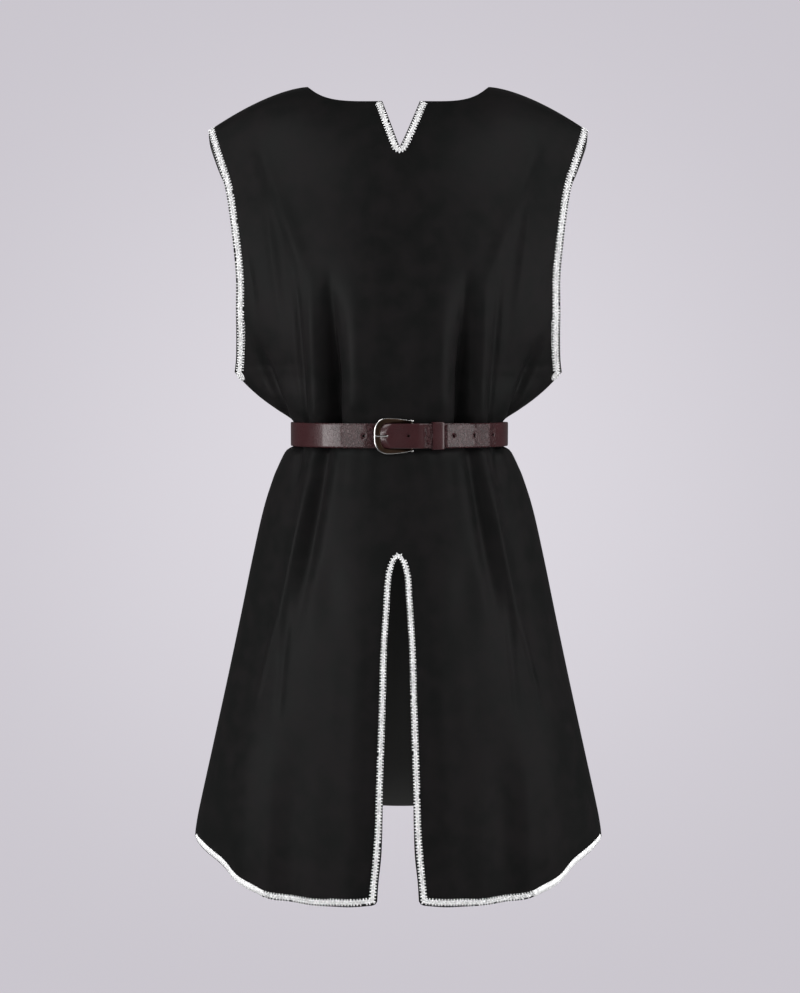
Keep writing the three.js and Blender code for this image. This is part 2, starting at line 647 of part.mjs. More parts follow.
function hemQuads(side) {
  const vertex = (half, r, c) => {
    const line = front.halves[half];
    let v = line[r][c];
    if (c === 1) v = between(line[r][1], line[r][2], BRAID_LIFT);
    if (r < hemRow) return v;
    const above = c === 1 ? between(line[r - 1][1], line[r - 1][2], BRAID_LIFT) : line[r - 1][c];
    return between(v, above, BRAID_INSET);
  };
  return quadsOf(front, (r, c, half) => half === side && c >= 1 && r === hemRow - 1, vertex);
}

function armQuads(side) {
  const quads = [];
  for (const grid of [front, back]) {
    const foot = grid.rows.indexOf(ARM_FOOT);
    const vertex = (half, r, c) => {
      const line = grid.halves[half][r];
      const edge = c === grid.columnCount;
      const v = edge ? between(line[c], line[c - 1], BRAID_INSET) : line[c];
      if (r > 0) return v;
      const onSeam = v.p.clone();
      onSeam.y = 0;
      return { p: onSeam, n: v.n };
    };
    const pick = (r, c, half) => half === side && c === grid.columnCount - 1 && r < foot;
    quads.push(...quadsOf(grid, pick, vertex));
  }
  return quads;
}

const LOOKS = {
  cloth: { color: 0x222223, roughness: 0.7, metalness: 0 },
  braid: { color: 0xe8e7e8, roughness: 0.9, metalness: 0 },
  leather: { color: 0x3a1c20, roughness: 0.35, metalness: 0 },
  metal: { color: 0xcfccca, roughness: 0.25, metalness: 1 },
};
const PIECES = [
  ["front_panel", "cloth", solid(wall(quadsOf(front), -CLOTH, 0))],
  ["back_panel", "cloth", solid(wall(quadsOf(back), -CLOTH, 0))],
  ["notch_braid", "braid", solid(braid(notchQuads))],
  ["slit_braid", "braid", solid(braid(slitQuads))],
  ["hem_braid_left", "braid", solid(braid(hemQuads(1)))],
  ["hem_braid_right", "braid", solid(braid(hemQuads(-1)))],
  ["armhole_braid_left", "braid", solid(braid(armQuads(1)))],
  ["armhole_braid_right", "braid", solid(braid(armQuads(-1)))],
  ["belt_strap", "leather", beltStrap()],
  ["belt_keeper", "leather", beltKeeper()],
  ["buckle_frame", "metal", buckleFrame()],
  ["buckle_prong", "metal", buckleProng()],
];

const dress = new THREE.Group();
for (const [name, look, made] of PIECES) {
  const { vertProperties, triVerts, numProp } = made.getMesh();
  const geometry = new THREE.BufferGeometry();
  const position = [];
  for (let i = 0; i < vertProperties.length; i += numProp) {
    position.push(...vertProperties.subarray(i, i + 3));
  }
  geometry.setAttribute("position", new THREE.BufferAttribute(new Float32Array(position), 3));
  geometry.setIndex(new THREE.BufferAttribute(new Uint32Array(triVerts), 1));
  const mesh = new THREE.Mesh(geometry, new THREE.MeshStandardMaterial(LOOKS[look]));
  mesh.name = name;
  dress.add(mesh);
}
export default dress;
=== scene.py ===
"""Looks of a sleeveless black tunic dress with stitched white braid and a fastened leather belt.

Lengths are in millimetres until a mesh is made, as in the part's own tables. The wearer's left is
+X, and the front faces -Y.
"""

import math

import bmesh
import bpy
import numpy as np
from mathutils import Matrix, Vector


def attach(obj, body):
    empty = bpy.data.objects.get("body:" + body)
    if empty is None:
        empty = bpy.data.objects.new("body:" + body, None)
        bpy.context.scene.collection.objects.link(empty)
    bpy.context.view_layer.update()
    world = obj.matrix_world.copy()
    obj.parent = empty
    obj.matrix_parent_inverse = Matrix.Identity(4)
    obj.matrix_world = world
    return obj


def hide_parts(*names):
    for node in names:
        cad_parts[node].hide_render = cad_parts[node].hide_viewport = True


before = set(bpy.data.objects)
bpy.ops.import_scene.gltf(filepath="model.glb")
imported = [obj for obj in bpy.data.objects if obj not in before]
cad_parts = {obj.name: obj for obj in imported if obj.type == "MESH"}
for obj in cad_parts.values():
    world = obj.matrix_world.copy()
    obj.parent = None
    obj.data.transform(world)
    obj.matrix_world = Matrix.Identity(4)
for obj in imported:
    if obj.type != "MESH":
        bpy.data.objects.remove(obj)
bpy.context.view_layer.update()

MM = 0.001
FULL_TURN = 2 * math.pi
RANDOM = np.random.default_rng(11)

# Sizes of the cloth.
CLOTH = 1.5
SEAM = 0.3
NECK_HALF = 129
TIP_HALF = 271
TIP_DROP = 62
FRONT_NECK = 33.2
BACK_NECK = 74
NOTCH_HALF = 26
NOTCH_FOOT = -101.5
NOTCH_SHIFT = 4
ARM_FOOT = -405
SLIT_TOP = -661
HEM_FRONT = -1133
HEM_SIDE = -1089
HEM_BACK = -1093
KNEE = -250  # the neckline bends the rows down to here
HEM_KNEE = -960  # the hem bends them from here
BRAID_WIDE = 10  # from the cloth edge to the far side of the braid

# Sizes of the belt.
WAIST_WIDE = 152
WAIST_FRONT = 112
WAIST_BACK = 104
BELT_MID = -494
BELT_HALF = 17
STRAP = 3
STRAP_REST = 0.5
STRAP_OVER = 3.9
STRAP_BRIDGE = 5.8
BAR_X = 18.8
BAR_LIFT = 4
BAR_R = 1.6
HOLES_X = (-46.7, -16.7, 13.4, 74, 102.4, 128.8)
HOLE_R = 1.9
KEEPER_X = (45.5, 60.1)
KEEPER_WALL = 1.6
KEEPER_TALL = 9.1
FRAME_HALF = 24.8
FRAME_BAND = 7.1

# Half width at the side seams: height, half width.
SIDE = (
    (-405, 236.5), (-426, 217), (-444, 196.4), (-461, 172.5), (-469, 159.8), (-476, WAIST_WIDE),
    (-494, WAIST_WIDE), (-512, WAIST_WIDE), (-515, 158.5), (-519, 163), (-527, 167.6),
    (-540, 173.8), (-556, 180.8), (-601, 195.3), (-671, 211.6), (-765, 231.4), (-859, 251.8),
    (-954, 273.1), (-1049, 294.4), (-1075, 299), (-1089, 300.4),
)
# Depth in the middle of the front and of the back: height, depth.
FRONT_DEPTH = (
    (0, 0), (-10, 38), (-33, 68), (-60, 88), (-100, 106), (-150, 120), (-200, 128), (-250, 133),
    (-350, 133), (-405, 130), (-444, 123), (-461, 118), (-469, 115.5), (-476, WAIST_FRONT),
    (-494, WAIST_FRONT), (-512, WAIST_FRONT), (-517, 115), (-530, 119.5), (-555, 124),
    (-600, 131), (-700, 143), (-820, 156), (-940, 168), (-1060, 181), (-1133, 189),
)
BACK_DEPTH = (
    (0, 0), (-10, 36), (-33, 62), (-60, 80), (-100, 97), (-150, 108), (-200, 112), (-300, 112),
    (-405, 108), (-440, 107), (-461, 107.5), (-469, 107), (-476, WAIST_BACK),
    (-494, WAIST_BACK), (-512, WAIST_BACK), (-517, 107), (-530, 112), (-555, 119), (-600, 127),
    (-700, 138), (-800, 146), (-900, 154), (-1000, 164), (-1093, 175),
)
# Armhole edges: height, distance from the middle, distance in front of or behind the seam.
FRONT_ARM = (
    (-62, 271, 0), (-105, 257.6, 21), (-149, 243.5, 35), (-192, 236.2, 43), (-232, 231.6, 45),
    (-272, 228.6, 43), (-321, 230, 34), (-356, 231, 23), (-385, 233.2, 9), (-398, 235.2, 2),
    (-405, 236.5, 0),
)
BACK_ARM = (
    (-62, 271, 0), (-80, 270.8, 14), (-95, 267, 24), (-111, 261.8, 32), (-124, 256.8, 37),
    (-139, 250.2, 41), (-165, 243.4, 44), (-192, 237.6, 46), (-232, 232.2, 46),
    (-272, 230.2, 43), (-321, 231.2, 34), (-356, 232, 23), (-385, 233.6, 9), (-398, 235.2, 2),
    (-405, 236.5, 0),
)
# The braid on the armholes: height of its row, from the cloth edge to its far side, and to its
# near side.
ARM_BAND = (
    (0, 8.6, 0.4), (-50, 10.5, 0.4), (-110, 12.6, 0.5), (-180, 13.2, 0.8), (-230, 14.4, 0.9),
    (-300, 16, 1.0), (-360, 16, 2.2), (-405, 15, 2.6),
)
# The front's hem: distance from the middle, height.
FRONT_HEM = (
    (301, -1085), (294, -1089), (277, -1095), (257, -1101), (247, -1105.5), (233, -1115),
    (223, -1119.5), (211, -1123.5), (195, -1128), (186, -1131.5), (167, -1134), (115, -1132.5),
    (72, -1129), (35, -1126), (0, -1124.5),
)
# How pointed the level sections are at the sides: height, power.
WING = (
    (0, 1.6), (-60, 2.2), (-150, 2.5), (-250, 2.6), (-405, 2.6), (-440, 1.8), (-464, 1.15),
    (-476, 1), (-494, 1), (-512, 1), (-560, 1.2), (-700, 1.3), (-1133, 1.35),
)
# Half opening of the front slit: height, half width.
SLIT = (
    (-661, 0), (-668, 5.4), (-677, 8.1), (-720, 10.8), (-785, 14.9), (-849, 16.2), (-914, 18.2),
    (-978, 20.3), (-1064, 22.3), (-1107, 26.4), (-1133, 28),
)
# Distance of the belt's deepest pleat from the middle: height, distance.
PLEAT = (
    (0, NECK_HALF), (-60, 116), (-150, 103), (-250, 96), (-405, 95), (-474, 93), (-514, 97),
    (-605, 112), (-680, 126), (-830, 146), (-960, 158), (-1133, 172),
)
# Large folds: top height, distance there, foot height, distance there, height over which the
# fold comes in, height over which it dies out, depth inwards, half width.
FRONT_FOLDS = (
    (-240, 90, -514, 88, 180, 40, 12, 17),
    (-250, 95, -514, 93, 180, 30, 18, 8),
    (-250, 121, -514, 114, 120, 40, -3.5, 8),
    (-474, 96, -800, 148, 40, 220, 13, 13),
    (-250, 62, -470, 60, 140, 20, -3, 15),
    (-235, 142, -514, 127, 120, 40, 4.5, 5),
    (-345, 206, -520, 142, 60, 30, 10, 9),
    (-474, 140, -590, 143, 40, 70, 8, 9),
    (-520, 114, -860, 192, 60, 150, -4.5, 14),
    (-58, 202, -310, 114, 50, 100, -3.2, 12),
    (-150, 172, -400, 143, 110, 130, 1.6, 13),
    (-620, 100, -800, 92, 90, 110, 5, 26),
    (-700, 48, -1140, 62, 160, 60, -5, 26),
    (-820, 205, -1140, 216, 180, 60, -5, 34),
    (-860, 140, -1140, 150, 160, 60, 6, 24),
)
MIDDLE_FOLD = (-160, 0, -470, 0, 150, 80, 5, 26)
BACK_FOLDS = (
    (-250, 88, -514, 84, 160, 40, 12, 13),
    (-474, 84, -760, 118, 40, 210, 11, 15),
    (-300, -66, -514, -72, 150, 40, 13, 13),
    (-474, -72, -820, -108, 40, 230, 12, 15),
    (-340, 12, -514, 8, 120, 40, 7, 12),
    (-474, 8, -700, 14, 40, 160, 8, 14),
    (-300, 132, -514, 124, 110, 40, 7, 10),
    (-290, -136, -560, -126, 120, 60, 8, 10),
    (-474, 130, -640, 150, 40, 110, 7, 11),
    (-345, 204, -520, 146, 60, 30, 8, 9),
    (-345, -204, -520, -146, 60, 30, 9, 9),
    (-70, 200, -300, 96, 80, 120, -4, 17),
    (-70, -200, -280, -104, 80, 120, -4, 17),
    (-760, 46, -1100, 58, 170, 60, -7, 30),
    (-700, -30, -1100, -52, 170, 60, -8, 30),
    (-780, 196, -1100, 210, 170, 60, -7, 32),
    (-820, -176, -1100, -192, 170, 60, -8, 34),
    (-820, 128, -1100, 138, 160, 60, 6, 24),
)
# Fine creases, in the same columns. Those of the front are alike on both sides but for small
# differences.
FRONT_CREASES = (
    (-372, 149, -478, 136, 60, 14, 1.1, 5.0),
    (-300, 158, -452, 147, 90, 60, 1.0, 6.0),
    (-125, 187, -370, 158, 70, 130, -1.8, 7.0),
    (-230, 141, -420, 128, 60, 80, -1.4, 4.0),
    (-214, 214, -340, 196, 60, 70, 1.6, 5.0),
    (-412, 44, -474, 40, 46, 12, 1.0, 5.0),
    (-424, 22, -474, 19, 40, 12, 0.8, 5.0),
    (-498, 72, -620, 79, 14, 100, 1.1, 6.0),
    (-498, 50, -580, 55, 14, 60, 0.8, 6.0),
    (-498, 24, -620, 27, 14, 90, 1.3, 8.0),
    (-500, 122, -610, 148, 14, 80, 1.7, 3.6),
    (-562, 126, -800, 174, 70, 130, -2.2, 4.2),
    (-735, 164, -890, 205, 50, 60, -2.6, 3.2),
    (-690, 150, -905, 168, 90, 50, 2.2, 6.0),
    (-740, 84, -980, 92, 110, 120, -1.2, 12.0),
    (-900, 176, -1140, 182, 110, 60, -1.6, 11.0),
)
BACK_CREASES = (
    (-300, 100, -474, 98, 90, 20, -2.0, 4.0),
    (-330, -84, -474, -88, 90, 20, -2.0, 4.0),
    (-360, 60, -476, 58, 70, 16, 2.0, 4.0),
    (-350, -38, -476, -40, 80, 16, 2.2, 4.2),
    (-380, -104, -476, -106, 60, 16, 2.0, 3.6),
    (-390, 34, -476, 33, 50, 16, 1.7, 3.8),
    (-372, 150, -478, 136, 60, 14, 2.4, 4.0),
    (-366, -152, -478, -138, 60, 14, 2.4, 4.0),
    (-150, 150, -320, 118, 90, 110, -1.6, 6.0),
    (-160, -156, -330, -124, 90, 110, -1.6, 6.0),
    (-210, 214, -340, 196, 60, 70, 1.6, 5.0),
    (-230, -214, -350, -194, 60, 70, 1.6, 5.0),
    (-498, 60, -610, 70, 14, 80, 1.8, 5.0),
    (-498, -44, -640, -56, 14, 100, 1.8, 5.0),
    (-498, 106, -600, 124, 14, 80, 1.8, 4.0),
    (-498, -100, -630, -124, 14, 90, 1.9, 4.2),
    (-498, -16, -560, -18, 14, 50, 1.2, 4.0),
    (-640, 160, -860, 192, 90, 120, -2.0, 5.0),
    (-600, -150, -840, -186, 80, 120, -2.0, 5.0),
    (-760, 0, -1010, 6, 110, 120, 1.4, 10.0),
    (-820, -104, -1100, -116, 110, 60, 1.6, 9.0),
    (-880, 92, -1100, 98, 110, 60, -1.6, 9.0),
)


# Form of the cloth


def smooth(t):
    t = np.clip(t, 0, 1)
    return t * t * (3 - 2 * t)


def mix(a, b, t):
    return a + (b - a) * t


def unit(vectors):
    return vectors / np.maximum(np.linalg.norm(vectors, axis=-1, keepdims=True), 1e-9)


def square_to(vectors, *axes):
    """Unit vectors with what runs along the axes taken out."""
    for axis in axes:
        vectors = vectors - axis * (vectors * axis).sum(axis=-1, keepdims=True)
    return unit(vectors)


def lengths(path):
    """The length of a path of points up to each of them."""
    gaps = np.linalg.norm(np.diff(path, axis=0), axis=1)
    return np.concatenate([[0], np.cumsum(gaps)])


def resampled(path, at, wanted):
    """The rows of a path at the wanted lengths along it, at being the length at each row."""
    return np.stack([np.interp(wanted, at, column) for column in path.T], axis=1)


def curve(rows, at, column=1):
    """A smooth curve through rows of height and value, highest row first."""
    z = np.array([row[0] for row in rows], float)
    v = np.array([row[column] for row in rows], float)
    last = len(z) - 1
    k = np.arange(last + 1)
    below, above = np.minimum(k + 1, last), np.maximum(k - 1, 0)
    slope = (v[below] - v[above]) / (z[below] - z[above])
    at = np.clip(at, z[-1], z[0])
    i = np.clip(np.searchsorted(-z, -at, side="right") - 1, 0, last - 1)
    h = z[i + 1] - z[i]
    t = (at - z[i]) / h
    level_part = mix(v[i], v[i + 1], t * t * (3 - 2 * t))
    return level_part + h * (slope[i] * t * (1 - t) ** 2 - slope[i + 1] * t * t * (1 - t))


def place(table, value):
    """The column before each value in the rising rows of a table, and how far past it."""
    row = np.arange(len(value))
    i = np.clip((table <= value[:, None]).sum(axis=1) - 1, 0, table.shape[1] - 2)
    low, high = table[row, i], table[row, i + 1]
    return i, np.clip((value - low) / np.maximum(high - low, 1e-9), 0, 1)


def pick(table, i, t):
    row = np.arange(len(i))
    return mix(table[row, i], table[row, i + 1], t)


def shoulder_drop(x):
    return TIP_DROP * np.maximum(0, (np.abs(x) - NECK_HALF) / (TIP_HALF - NECK_HALF)) ** 1.54


def front_neck(x):
    t = np.clip(np.abs(x) / NECK_HALF, 0, 1)
    return -FRONT_NECK * (1 - t**5.2) ** 0.85


def back_neck(x):
    return -BACK_NECK * (1 - np.clip(np.abs(x) / NECK_HALF, 0, 1) ** 2.4)


def front_hem(x):
    corner = np.clip((36.5 - np.abs(x)) / 8.5, 0, 1)
    return curve(FRONT_HEM, np.abs(x)) + 6 * (1 - np.sqrt(1 - corner**2))


def back_hem(x):
    return mix(HEM_BACK, HEM_SIDE, smooth(np.abs(x) / 290))


def notch_half(z):
    t = np.clip((NOTCH_FOOT - z) / (NOTCH_FOOT + FRONT_NECK), 0, 2)
    return NOTCH_HALF * t**0.93


def neck_bend(row):
    """Height of a row in the middle of the front, where the neckline bends it down."""
    return row - FRONT_NECK * (1 - row / KNEE)


NOTCH_ROW = (NOTCH_FOOT + FRONT_NECK) / (1 - FRONT_NECK / -KNEE)


def front_opening(row):
    """Half opening of the front at a row, of the notch above and of the slit below."""
    notch = np.where(row > NOTCH_ROW, notch_half(neck_bend(row)), 0)
    return np.where(row < SLIT_TOP, curve(SLIT, row), notch)


def mirrored(folds, share=1.0):
    """Folds of one side and their mirror images, the latter this much as deep."""
    other = [(top, -a, foot, -b, come, go, share * deep, wide)
             for top, a, foot, b, come, go, deep, wide in folds]
    return list(folds) + other


class Panel:
    """A cloth panel as a surface: a height and a distance along the cloth give a point."""

    STEPS = 96

    def __init__(self, face, depth, arm, folds, neck, hem, opening):
        self.face = face
        self.depth = depth
        self.arm = arm
        self.folds = folds
        self.neck = neck
        self.hem = hem
        self.opening = opening

    def section(self, level):
        """Half of each level section: x, y and length along it, and the shoulder's share."""
        depth = curve(self.depth, level)
        wing = curve(WING, level)
        rise = np.maximum(0, 1 - level / ARM_FOOT)
        z = level - 40 * rise
        for _ in range(12):
            x = curve(self.arm, z)
            z = level - shoulder_drop(x) * rise
        out = np.clip(curve(self.arm, z, 2) / np.maximum(depth, 0.01), 0, 1)
        bounded = (rise > 0) & (depth > 0.01)
        end = np.where(bounded, np.arccos(out ** (1 / wing)), math.pi / 2)
        wide = np.where(rise > 0, x / np.sin(end), curve(SIDE, level))
        phi = end[:, None] * np.linspace(0, 1, self.STEPS + 1)
        xs = wide[:, None] * np.sin(phi)
        ys = depth[:, None] * np.maximum(0, np.cos(phi)) ** wing[:, None]
        steps = np.hypot(np.diff(xs, axis=1), np.diff(ys, axis=1))
        along = np.concatenate([np.zeros((len(xs), 1)), np.cumsum(steps, axis=1)], axis=1)
        return xs, ys, along, rise

    def fold_depth(self, half, level, reach, xs, along):
        deep = np.zeros(len(level))
        for top, x_top, foot, x_foot, come, go, depth, wide in self.folds:
            at = np.nonzero((level <= top) & (level >= foot))[0]
            if not len(at):
                continue
            x = mix(x_top, x_foot, (top - level[at]) / (top - foot))
            centre = np.sign(x) * half * pick(along[at], *place(xs[at], np.abs(x)))
            strength = smooth((top - level[at]) / come)
            if foot > HEM_SIDE:
                strength = strength * smooth((level[at] - foot) / go)
            deep[at] += depth * strength * np.exp(-(((reach[at] - centre) / wide) ** 2))
        held = np.abs(level - BELT_MID) < BELT_HALF + 3
        deep = np.where(held, np.maximum(0, deep), deep)
        return deep * smooth((along[:, -1] - reach) / 22)

    def point(self, half, level, reach):
        """Points of the outer face, one for each level and length outwards from the middle."""
        xs, ys, along, rise = self.section(level)
        i, t = place(along, reach)
        x, y = pick(xs, i, t), pick(ys, i, t)
        z = level - shoulder_drop(x) * rise
        deep = self.fold_depth(half, level, reach, xs, along)
        out_x = -pick(np.gradient(ys, axis=1), i, t)
        out_y = pick(np.gradient(xs, axis=1), i, t)
        long = np.maximum(np.hypot(out_x, out_y), 1e-9)
        x = np.maximum(0, x - deep * out_x / long)
        x = np.where(reach < 0.001, 0, x)
        y = np.maximum(y - deep * out_y / long, SEAM / 2)
        shift = 0
        if self.face < 0:
            shift = NOTCH_SHIFT * smooth((130 - x) / 100) * smooth((z + 190) / 160)
        return np.stack([half * x + shift, self.face * y, z], axis=1)

    def at(self, x, z):
        """Points of the outer face in front of x and z, below the shoulders' slope."""
        xs, _, along, _ = self.section(z)
        reach = pick(along, *place(xs, np.abs(x)))
        right = x < 0
        points = self.point(1, z, reach)
        points[right] = self.point(-1, z[right], reach[right])
        return points

    def stops(self, level, opening):
        """Lengths along the section of the opening, its braid, the pleat, the arm's band."""
        xs, _, along, _ = self.section(level)
        first = pick(along, *place(xs, opening))
        pleat = pick(along, *place(xs, curve(PLEAT, level)))
        side = along[:, -1]
        band = side - curve(ARM_BAND, level)
        return np.stack([first, first + BRAID_WIDE, pleat, band, side], axis=1)

    def reach(self, column, level, opening):
        """Length along the section of a column from 0, the opening, to 4, the side."""
        k = np.minimum(column.astype(int), 3)
        return pick(self.stops(level, opening), k, column - k)

    def grid(self, half, rows, columns):
        """Points, lengths and heights of one half, rows from the top by columns outwards."""
        inner = columns < 2
        top = np.zeros(len(columns))
        start = np.full(inner.sum(), float(self.opening(np.array([0.0]))[0]))
        for _ in range(30):
            level = np.minimum(top[inner], -1)
            xs, _, along, _ = self.section(level)
            reach = self.reach(columns[inner], level, start)
            x = pick(xs, *place(along, reach))
            top[inner] = mix(top[inner], self.neck(x), 0.6)
        column, row = (a.ravel() for a in np.meshgrid(columns, rows))
        lift = np.tile(top, len(rows))
        opening = self.opening(row)
        level = np.where(row > KNEE, row + lift * (1 - row / KNEE), row)
        low = row < HEM_KNEE
        share = (HEM_KNEE - row[low]) / (HEM_KNEE - rows[-1])
        for _ in range(2):
            across = self.reach(column[low], level[low], opening[low])
            x = self.point(1, level[low], across)[:, 0]
            level[low] = mix(HEM_KNEE, self.hem(x), share)
        reach = self.reach(column, level, opening)
        return self.point(half, level, reach), reach, level


FRONT = Panel(
    -1, FRONT_DEPTH, FRONT_ARM,
    mirrored(FRONT_FOLDS) + [MIDDLE_FOLD] + mirrored(FRONT_CREASES, 0.85),
    front_neck, front_hem, front_opening,
)
BACK = Panel(
    1, BACK_DEPTH, BACK_ARM, BACK_FOLDS + BACK_CREASES,
    back_neck, back_hem, lambda row: np.zeros(len(row)),
)


def divided(stops, cell):
    """Values from the first stop to the last, each stop kept, no further apart than cell."""
    values = [float(stops[0])]
    for a, b in zip(stops, stops[1:]):
        count = max(1, math.ceil(abs(b - a) / cell))
        values += [mix(a, b, (k + 1) / count) for k in range(count)]
    return np.array(values)


ROW_STOPS = (0, -5, -28, NOTCH_ROW, -170, ARM_FOOT, -438, -469, -476, -494, -512, -517, -540,
             SLIT_TOP, -677, HEM_KNEE, HEM_FRONT)


# Making meshes


def placed(name, data):
    """An object of this data at the origin of the scene."""
    made = bpy.data.objects.new(name, data)
    bpy.context.scene.collection.objects.link(made)
    return made


def smooth_object(name, bm, *finishes):
    mesh = bpy.data.meshes.new(name)
    bm.to_mesh(mesh)
    bm.free()
    mesh.shade_smooth()
    for finish in finishes:
        mesh.materials.append(finish.material)
    return placed(name, mesh)


def new_piece(name, bm, finishes, slot, *nodes):
    """A finished piece at the origin, riding on the dress and standing for its CAD nodes."""
    piece = smooth_object(name, bm, *finishes)
    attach(piece, "root")
    if nodes:
        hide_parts(*nodes)
    return piece


def add_wall(piece, thickness, rim=0.0, lined=False):
    """Gives a sheet its thickness inwards, with its rims rounded by rim, the inside lined."""
    wall = piece.modifiers.new("Wall", "SOLIDIFY")
    wall.thickness = thickness * MM
    wall.offset = -1
    wall.material_offset = len(piece.data.materials) - 1 if lined else 0
    if rim:
        edge = piece.modifiers.new("Rim", "BEVEL")
        edge.width = rim * MM
        edge.segments = 2
        edge.limit_method = "ANGLE"
        edge.angle_limit = math.radians(50)


def add_grid(bm, points, outward, turn_closed=False):
    """A grid moved to an array of points, facing outward, an array of the same shape."""
    rows, columns = points.shape[:2]
    first_vert, first_face = len(bm.verts), len(bm.faces)
    bmesh.ops.create_grid(bm, x_segments=columns - 1, y_segments=rows - 1, size=1)
    bm.verts.ensure_lookup_table()
    bm.faces.ensure_lookup_table()
    made = bm.verts[first_vert:]
    for vert, co in zip(made, (points * MM).reshape(-1, 3).tolist()):
        vert.co = co
    faces = bm.faces[first_face:]
    middle = faces[len(faces) // 2]
    middle.normal_update()
    bm.verts.index_update()
    side = outward.reshape(-1, 3)[middle.verts[0].index - first_vert]
    if middle.normal.dot(Vector(side.tolist())) < 0:
        bmesh.ops.reverse_faces(bm, faces=faces)
    if turn_closed:
        ends = [made[r * columns] for r in range(rows)]
        ends += [made[(r + 1) * columns - 1] for r in range(rows)]
        bmesh.ops.remove_doubles(bm, verts=ends, dist=0.001 * MM)
    return made


def normals_of(points):
    """Unit normals of a lattice of points, on the side that the cross product gives."""
    return unit(np.cross(np.gradient(points, axis=0), np.gradient(points, axis=1)))


def add_copies(bm, template, centres, axes, tones):
    """Adds one copy of a template mesh for each centre, stretched by its three axes."""
    verts, faces = template
    points = centres[:, None, :] + np.einsum("vk,gkc->gvc", verts, axes)
    index = faces[None] + (np.arange(len(centres)) * len(verts))[:, None, None]
    mesh = bpy.data.meshes.new("copies")
    quads = [[i for n, i in enumerate(f) if i not in f[:n]] for f in index.reshape(-1, 4).tolist()]
    mesh.from_pydata((points.reshape(-1, 3) * MM).tolist(), [], quads)
    tone = mesh.attributes.new("tone", "FLOAT", "POINT")
    tone.data.foreach_set("value", np.repeat(tones, len(verts)).astype(np.float32))
    bm.from_mesh(mesh)
    bpy.data.meshes.remove(mesh)


def bead(around, along):
    """A unit bead as points and four-cornered faces, whose poles repeat a corner."""
    bm = bmesh.new()
    bmesh.ops.create_uvsphere(bm, u_segments=around, v_segments=along, radius=1)
    verts = np.array([v.co for v in bm.verts])
    faces = [[v.index for v in f.verts] for f in bm.faces]
    bm.free()
    return verts, np.array([(f * 2)[:4] if len(f) == 4 else f + f[:1] for f in faces])


# Materials


class Shade:
    """A value or colour in a material, with operators that add its Math nodes."""

    def __init__(self, finish, socket):
        self.finish = finish
        self.socket = socket

    def math(self, operation, first, second=0.0):
        return self.finish.node("ShaderNodeMath", {"operation": operation}, {0: first, 1: second})

    def __add__(self, other):
        return self.math("ADD", self, other)

    def __sub__(self, other):
        return self.math("SUBTRACT", self, other)

    def __rsub__(self, other):
        return self.math("SUBTRACT", other, self)

    def __mul__(self, other):
        return self.math("MULTIPLY", self, other)

    def __pow__(self, other):
        return self.math("POWER", self, other)

    __radd__ = __add__
    __rmul__ = __mul__


class Finish:
    """A material with a Principled shader, and what its nodes are made with."""

    def __init__(self, name, **constants):
        self.material = bpy.data.materials.new(name)
        self.material.use_nodes = True
        self.tree = self.material.node_tree
        self.shader = self.tree.nodes["Principled BSDF"]
        for label, value in constants.items():
            self.shader.inputs[label.replace("_", " ")].default_value = value

    def node(self, kind, settings=None, inputs=None, output=0):
        made = self.tree.nodes.new(kind)
        for key, value in (settings or {}).items():
            if key == "stops":
                ramp = made.color_ramp.elements
                for stop in value[2:]:
                    ramp.new(stop[0])
                for element, (at, colour) in zip(ramp, value):
                    element.position = at
                    element.color = (*colour, 1)
            else:
                setattr(made, key, value)
        for key, value in (inputs or {}).items():
            self.feed(made.inputs[key], value)
        return Shade(self, made.outputs[output])

    def feed(self, socket, value):
        if isinstance(value, Shade):
            self.tree.links.new(value.socket, socket)
        else:
            socket.default_value = value

    def place(self, scale=(1, 1, 1), turn=(0, 0, 0), uv=None):
        """Object coordinates, or a UV map's, scaled and turned."""
        if uv:
            source = self.node("ShaderNodeUVMap", {"uv_map": uv})
        else:
            source = self.node("ShaderNodeTexCoord", output=3)
        inputs = {"Vector": source, "Scale": scale, "Rotation": turn}
        return self.node("ShaderNodeMapping", inputs=inputs)

    def noise(self, where, scale, detail=2.0, rough=0.5):
        inputs = {"Vector": where, "Scale": scale, "Detail": detail, "Roughness": rough}
        return self.node("ShaderNodeTexNoise", inputs=inputs)

    def between(self, value, low, high, to_low=0.0, to_high=1.0):
        """The value's way from low to high, eased, as a number from to_low to to_high."""
        inputs = {"Value": value, 1: low, 2: high, 3: to_low, 4: to_high}
        return self.node("ShaderNodeMapRange", {"interpolation_type": "SMOOTHSTEP"}, inputs)

    def blend(self, share, first, second):
        """A colour on the way from the first to the second."""
        inputs = {0: share, 6: (*first, 1) if isinstance(first, tuple) else first,
                  7: (*second, 1) if isinstance(second, tuple) else second}
        return self.node("ShaderNodeMix", {"data_type": "RGBA"}, inputs, output=2)

    def relief(self, height, distance, strength=1.0, before=None):
        """Feeds the normal with a relief of this distance in millimetres."""
        inputs = {"Height": height, "Distance": distance * MM, "Strength": strength}
        if before:
            inputs["Normal"] = before
        bump = self.node("ShaderNodeBump", inputs=inputs)
        self.feed(self.shader.inputs["Normal"], bump)
        return bump

    def colour(self, value):
        self.feed(self.shader.inputs["Base Color"], value)

    def roughness(self, value):
        self.feed(self.shader.inputs["Roughness"], value)


